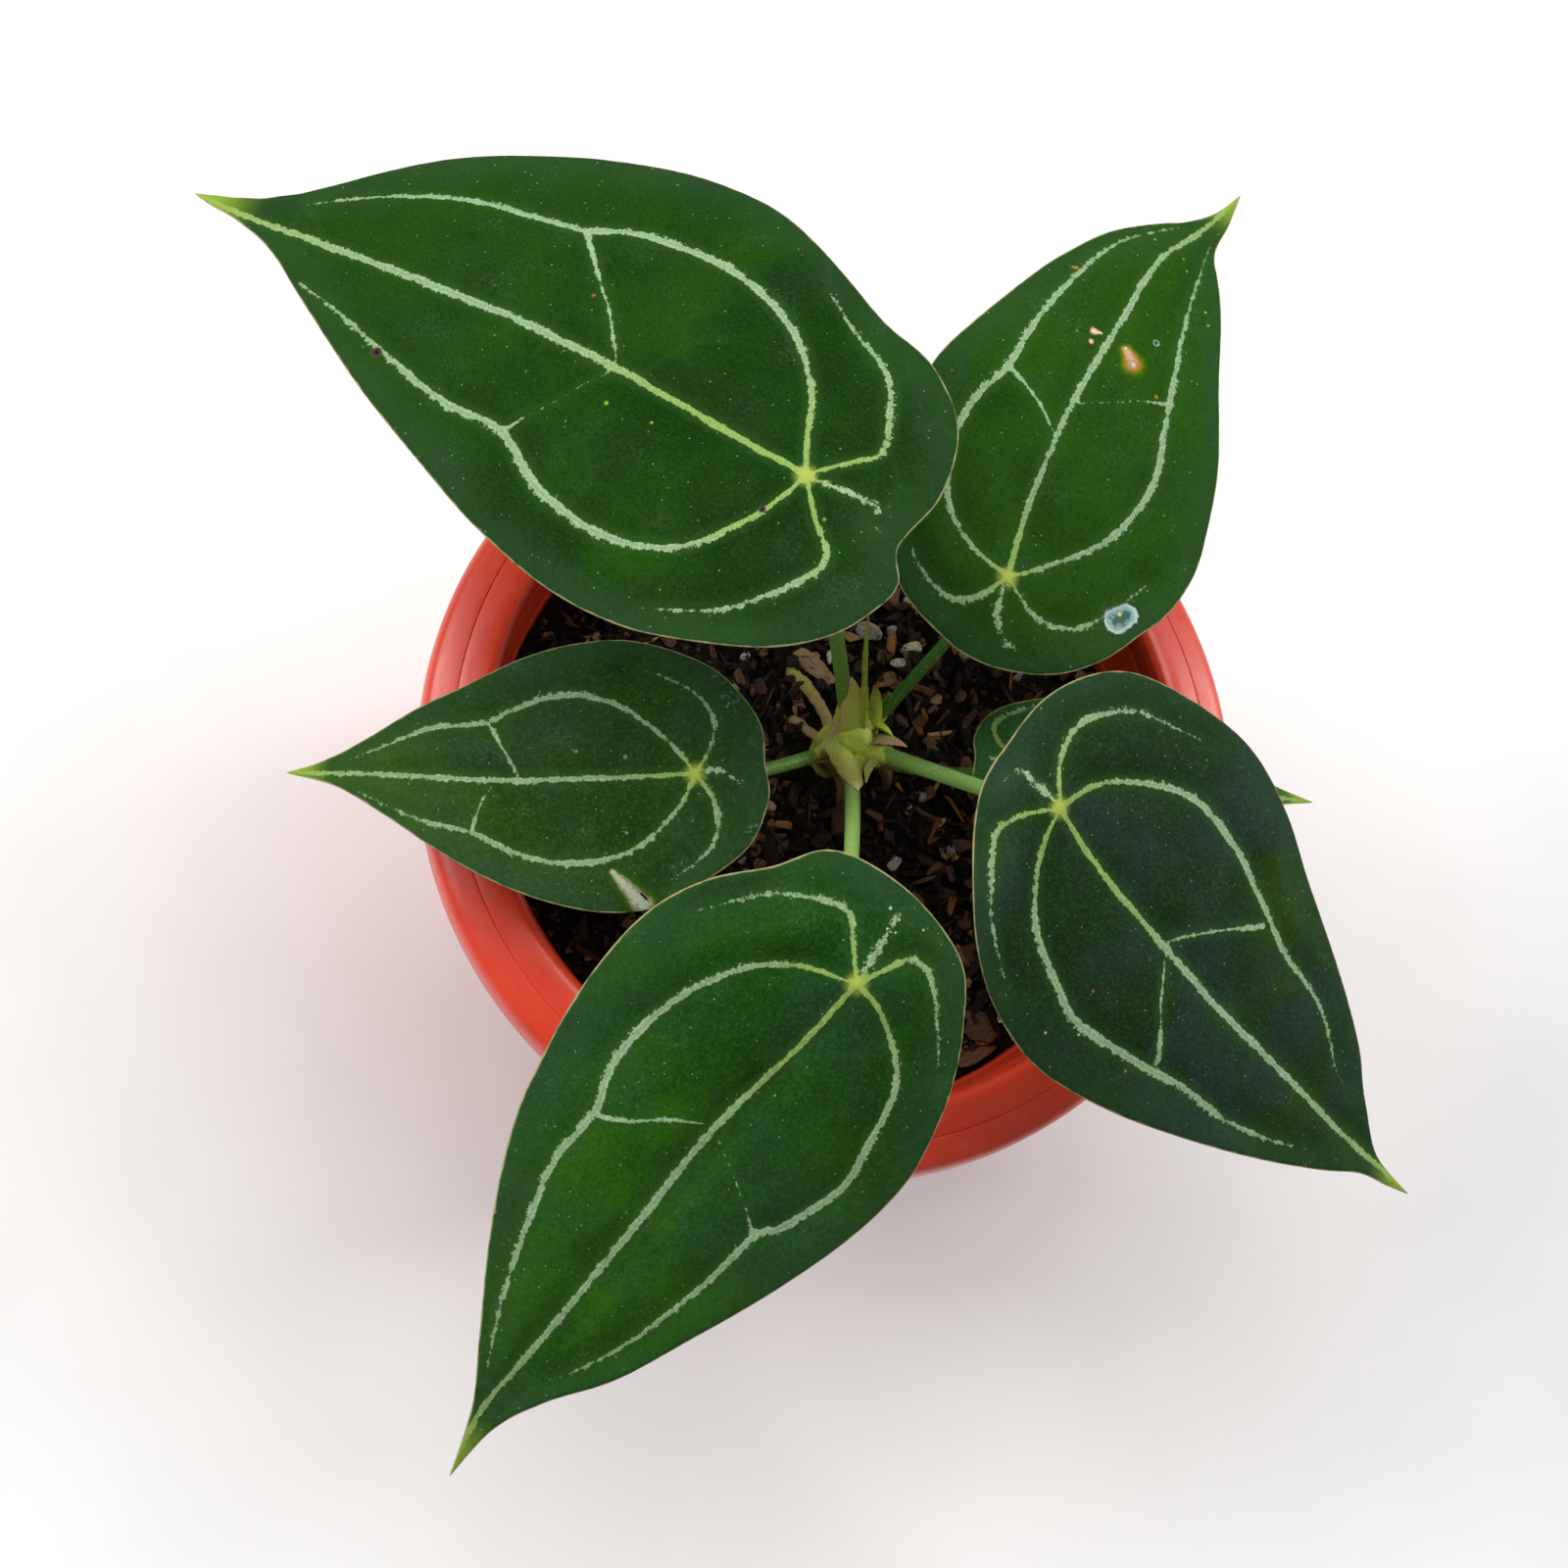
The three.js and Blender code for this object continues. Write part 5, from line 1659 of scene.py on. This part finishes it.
def strewn(random, kind):
    """Random places, sizes, headings and tones over the mix for one kind of piece."""
    count = kind["count"]
    ranges = (kind["long"], kind["wide"], kind["thick"])
    sizes = np.column_stack([random.uniform(low, high, count) for low, high in ranges])
    reach = inner_wall(SOIL_EDGE) - WALL_CLEAR - sizes[:, 0] / 2
    spread = np.sqrt(random.uniform(0, 1, count)) * reach
    turn = random.uniform(0, 2 * math.pi, count)
    x, y = spread * np.cos(turn), spread * np.sin(turn)
    z = soil_height(x, y) + random.uniform(*kind["lift"], count)
    headings = random.uniform(0, 2 * math.pi, count)
    tones = random.uniform(0, 1, count) ** TONE_POWER
    from_crown = np.hypot(x - CROWN_PLACE[0], y - CROWN_PLACE[1])
    clear = from_crown > CROWN_CLEAR + sizes[:, 0] / 2
    places = np.column_stack([x, y, z])
    return places[clear], sizes[clear], headings[clear], tones[clear]


# Tones of the pieces, from 0 to 1 by each piece's own tone
BARK_TONES = [
    (0.0, rgb(14, 10, 7)), (0.35, rgb(30, 20, 14)), (0.62, rgb(64, 42, 29)), (0.84, rgb(104, 72, 49)),
    (0.95, rgb(134, 100, 74)), (1.0, rgb(164, 142, 108)),
]
SLIVER_TONES = [
    (0.0, rgb(16, 11, 8)), (0.5, rgb(40, 26, 17)), (0.78, rgb(92, 56, 30)), (0.93, rgb(150, 98, 54)),
    (1.0, rgb(176, 148, 108)),
]
PUMICE_TONES = [(0.0, rgb(112, 104, 104)), (0.4, rgb(160, 150, 144)), (1.0, rgb(200, 192, 164))]
CRUMB_TONES = [
    (0.0, rgb(8, 6, 5)), (0.5, rgb(22, 16, 11)), (0.82, rgb(58, 40, 27)), (1.0, rgb(112, 80, 56)),
]

# Each kind's count, ranges of its sizes and of its lift over the mix, shape, and looks
SCATTER_SEED = 20
KINDS = {
    "crumbs": {
        "count": 3800, "long": (0.7, 2.4), "wide": (0.6, 1.8), "thick": (0.6, 1.5), "lift": (-0.4, 1.4),
        "fineness": 1, "square": 0.8, "rough": 0.18, "breaks": 2, "tilt": 1.2,
        "tones": CRUMB_TONES, "grain": (1, 1, 1),
    },
    "bark_chips": {
        "count": 1250, "long": (2, 7.5), "wide": (1.2, 3.6), "thick": (0.5, 1.4), "lift": (-0.6, 2.0),
        "fineness": 2, "square": 0.6, "rough": 0.08, "breaks": 5, "tilt": 0.7,
        "tones": BARK_TONES, "grain": (0.18, 2.0, 1.0),
    },
    "slivers": {
        "count": 560, "long": (2.5, 8), "wide": (0.4, 1.3), "thick": (0.25, 0.6), "lift": (0.1, 2.4),
        "fineness": 1, "square": 0.6, "rough": 0.12, "breaks": 1, "tilt": 0.5,
        "tones": SLIVER_TONES, "grain": (0.2, 2.0, 1.0),
    },
    "pumice": {
        "count": 36, "long": (1.2, 3.4), "wide": (1.1, 2.8), "thick": (1.1, 2.2), "lift": (0.0, 1.6),
        "fineness": 3, "square": 0.85, "rough": 0.035, "breaks": 3, "tilt": 1.0,
        "tones": PUMICE_TONES, "grain": (1, 1, 1),
    },
}

# Pieces that stand out by the crown: place, heading in degrees, size and tone
SHOWN_PIECES = {
    "bark_chips": [
        ((-1.3, 24.8), -38, (11.4, 4.4, 1.2), 0.97), ((14.1, 22.9), 20, (5.6, 3.1, 1.1), 0.9),
        ((23.9, 9.3), -40, (3.6, 2.0, 0.8), 0.8), ((32.8, 5.8), 80, (3.9, 2.6, 1.0), 0.82),
        ((14.1, -0.2), 70, (4.4, 3.0, 1.4), 0.45), ((17.4, 13.9), -52, (4.6, 1.7, 0.8), 0.7),
        ((31, -31.7), 20, (4.0, 2.9, 1.0), 0.66), ((32.5, -36.5), -15, (3.6, 2.6, 1.0), 0.62),
        ((34.5, -53.6), 8, (9.5, 6.8, 1.8), 0.68), ((35.6, -59.0), 26, (9.5, 3.4, 1.2), 0.76),
        ((30.5, -13.9), -20, (6.4, 5.0, 1.4), 0.74), ((26.2, 28.2), 30, (5.2, 4.0, 1.4), 0.7),
        ((18.2, 36.1), -25, (8.6, 3.4, 1.2), 0.25), ((17.2, 43.3), 60, (5.0, 3.0, 1.2), 0.9),
        ((2.8, -9.1), 75, (8.0, 4.6, 1.2), 0.6),
    ],
    "slivers": [
        ((15.6, 30.8), 84, (7.2, 2.2, 1.0), 0.9), ((22.4, 21.1), -20, (6.2, 2.0, 0.9), 0.78),
        ((26.7, 11.6), 10, (6.0, 1.3, 0.8), 0.97), ((21.5, 12.6), -60, (4.0, 1.8, 0.8), 0.8),
        ((28.9, -26.8), 70, (6.0, 1.9, 0.9), 0.85), ((-9.3, -11.1), -8, (5.0, 1.9, 0.9), 0.88),
        ((24.7, -19.2), 35, (5.4, 1.6, 0.8), 0.8), ((30.2, 32), -70, (4.2, 2.0, 0.9), 0.9),
        ((25, -1.6), 60, (7.0, 0.9, 0.6), 0.95),
    ],
    "pumice": [
        ((10.5, 34), -28, (6.2, 4.4, 3.4), 0.3), ((20.5, 31.2), 25, (5.0, 3.5, 2.8), 0.95),
        ((16.8, 26.8), 5, (3.5, 2.0, 1.8), 0.8), ((1.8, 27.8), 85, (3.5, 1.4, 1.4), 0.9),
        ((32.5, 30), 30, (2.6, 2.4, 2.0), 0.1), ((40.3, 28.2), 0, (2.3, 2.1, 1.8), 0.6),
        ((22.6, -3.3), 50, (2.4, 1.8, 1.5), 0.4), ((15.6, -19.2), 40, (3.8, 3.0, 2.4), 0.5),
    ],
}
SHOWN_LIFT = 1.9
SHOWN_TILT = 0.12


def lump_material(name, kind):
    s = Shader(name)
    own = s.vector("own")
    grain = s.noise(s.stretched(own, kind["grain"]), 0.8, detail=4, rough=0.7)
    colour = s.ramp(s.number("tone"), kind["tones"])
    colour = s.mix(s.fade(grain, 0.55, 0.3, 0.0, 0.7), colour, rgb(16, 10, 7))
    colour = s.mix(s.fade(grain, 0.6, 0.8, 0.0, 0.3), colour, rgb(190, 168, 140))
    pits = s.noise(own, 1.1, detail=2)
    colour = s.mix(s.fade(pits, 0.62, 0.7, 0.0, 0.5), colour, rgb(24, 18, 14))
    return s.finish(colour, 0.9, s.bump(grain, 0.35, 0.8), Specular_IOR_Level=0.25)


def make_scatter():
    for order, (name, kind) in enumerate(KINDS.items()):
        random = np.random.default_rng(SCATTER_SEED + order)
        parts = [lumps(random, *strewn(random, kind), kind["tilt"], kind)]
        if name in SHOWN_PIECES:
            spots, headings, sizes, tones = (
                np.array(column, float) for column in zip(*SHOWN_PIECES[name])
            )
            places = np.column_stack([spots, soil_height(*spots.T) + SHOWN_LIFT])
            parts.append(lumps(random, places, sizes, np.radians(headings), tones, SHOWN_TILT, kind))
        points, faces, values = joined(parts)
        is_smooth = name == "pumice"
        material = lump_material(name, kind)
        make_piece(name, points, faces, material, smooth=is_smooth, values=values)


make_scatter()


# Stage, light and camera
FLOOR_SIZE = 3


def make_stage():
    mesh = bmesh.new()
    bmesh.ops.create_grid(mesh, x_segments=2, y_segments=2, size=FLOOR_SIZE)
    floor_mesh = bpy.data.meshes.new("floor")
    mesh.to_mesh(floor_mesh)
    mesh.free()
    s = Shader("paper")
    tone = s.noise(s.place, 60, detail=2)
    colour = s.mix(s.fade(tone, 0.3, 0.7), rgb(226, 226, 225), rgb(230, 230, 229))
    floor_mesh.materials.append(s.finish(colour, 0.8, Specular_IOR_Level=0.2))
    put("floor", floor_mesh)


# Softboxes: the direction they stand in, size in metres and power
SOFTBOXES = {
    "key": ((0.05, 0.38, 0.92), (2.4, 1.8), 54),
    "left": ((-0.78, 0.25, 0.57), (1.2, 1.2), 42),
    "right": ((0.86, 0.3, 0.4), (0.5, 1.4), 22),
}
SOFTBOX_DISTANCE = 2.4
LIT_POINT = (0, 0, 0.15)
WORLD_LIGHT = 0.25


def make_light():
    middle = Vector(LIT_POINT)
    for name, (heading, size, power) in SOFTBOXES.items():
        light = bpy.data.lights.new(name, "AREA")
        light.shape = "RECTANGLE"
        light.size, light.size_y = size
        light.energy = power
        softbox = put(name, light)
        away = Vector(heading).normalized()
        softbox.location = middle + away * SOFTBOX_DISTANCE
        softbox.rotation_mode = "QUATERNION"
        softbox.rotation_quaternion = (-away).to_track_quat("-Z", "Y")
    world = bpy.data.worlds.new("studio")
    world.use_nodes = True
    background = world.node_tree.nodes["Background"]
    background.inputs["Color"].default_value = (1, 1, 1, 1)
    background.inputs["Strength"].default_value = WORLD_LIGHT
    bpy.context.scene.world = world
    bpy.context.scene.view_settings.view_transform = "Standard"


def make_camera():
    lean = math.sin(VIEW_LEAN)
    up_seen = np.array([
        lean * math.cos(VIEW_LEAN_HEADING), lean * math.sin(VIEW_LEAN_HEADING), math.cos(VIEW_LEAN),
    ])
    right_seen = unit(np.array([1.0, 0, 0]) - up_seen[0] * up_seen)
    axes = np.column_stack([right_seen, np.cross(up_seen, right_seen), up_seen])
    place = np.array(VIEWED_POINT) - axes.T @ np.array([*VIEW_OFFSET, -VIEW_DISTANCE])
    data = bpy.data.cameras.new("camera")
    data.lens = LENS
    data.sensor_width = SENSOR
    data.clip_start = 0.01
    camera = put("camera", data)
    camera.matrix_world = Matrix.Translation(Vector(place * MM)) @ Matrix(axes.T.tolist()).to_4x4()
    bpy.context.scene.camera = camera


make_stage()
make_light()
make_camera()
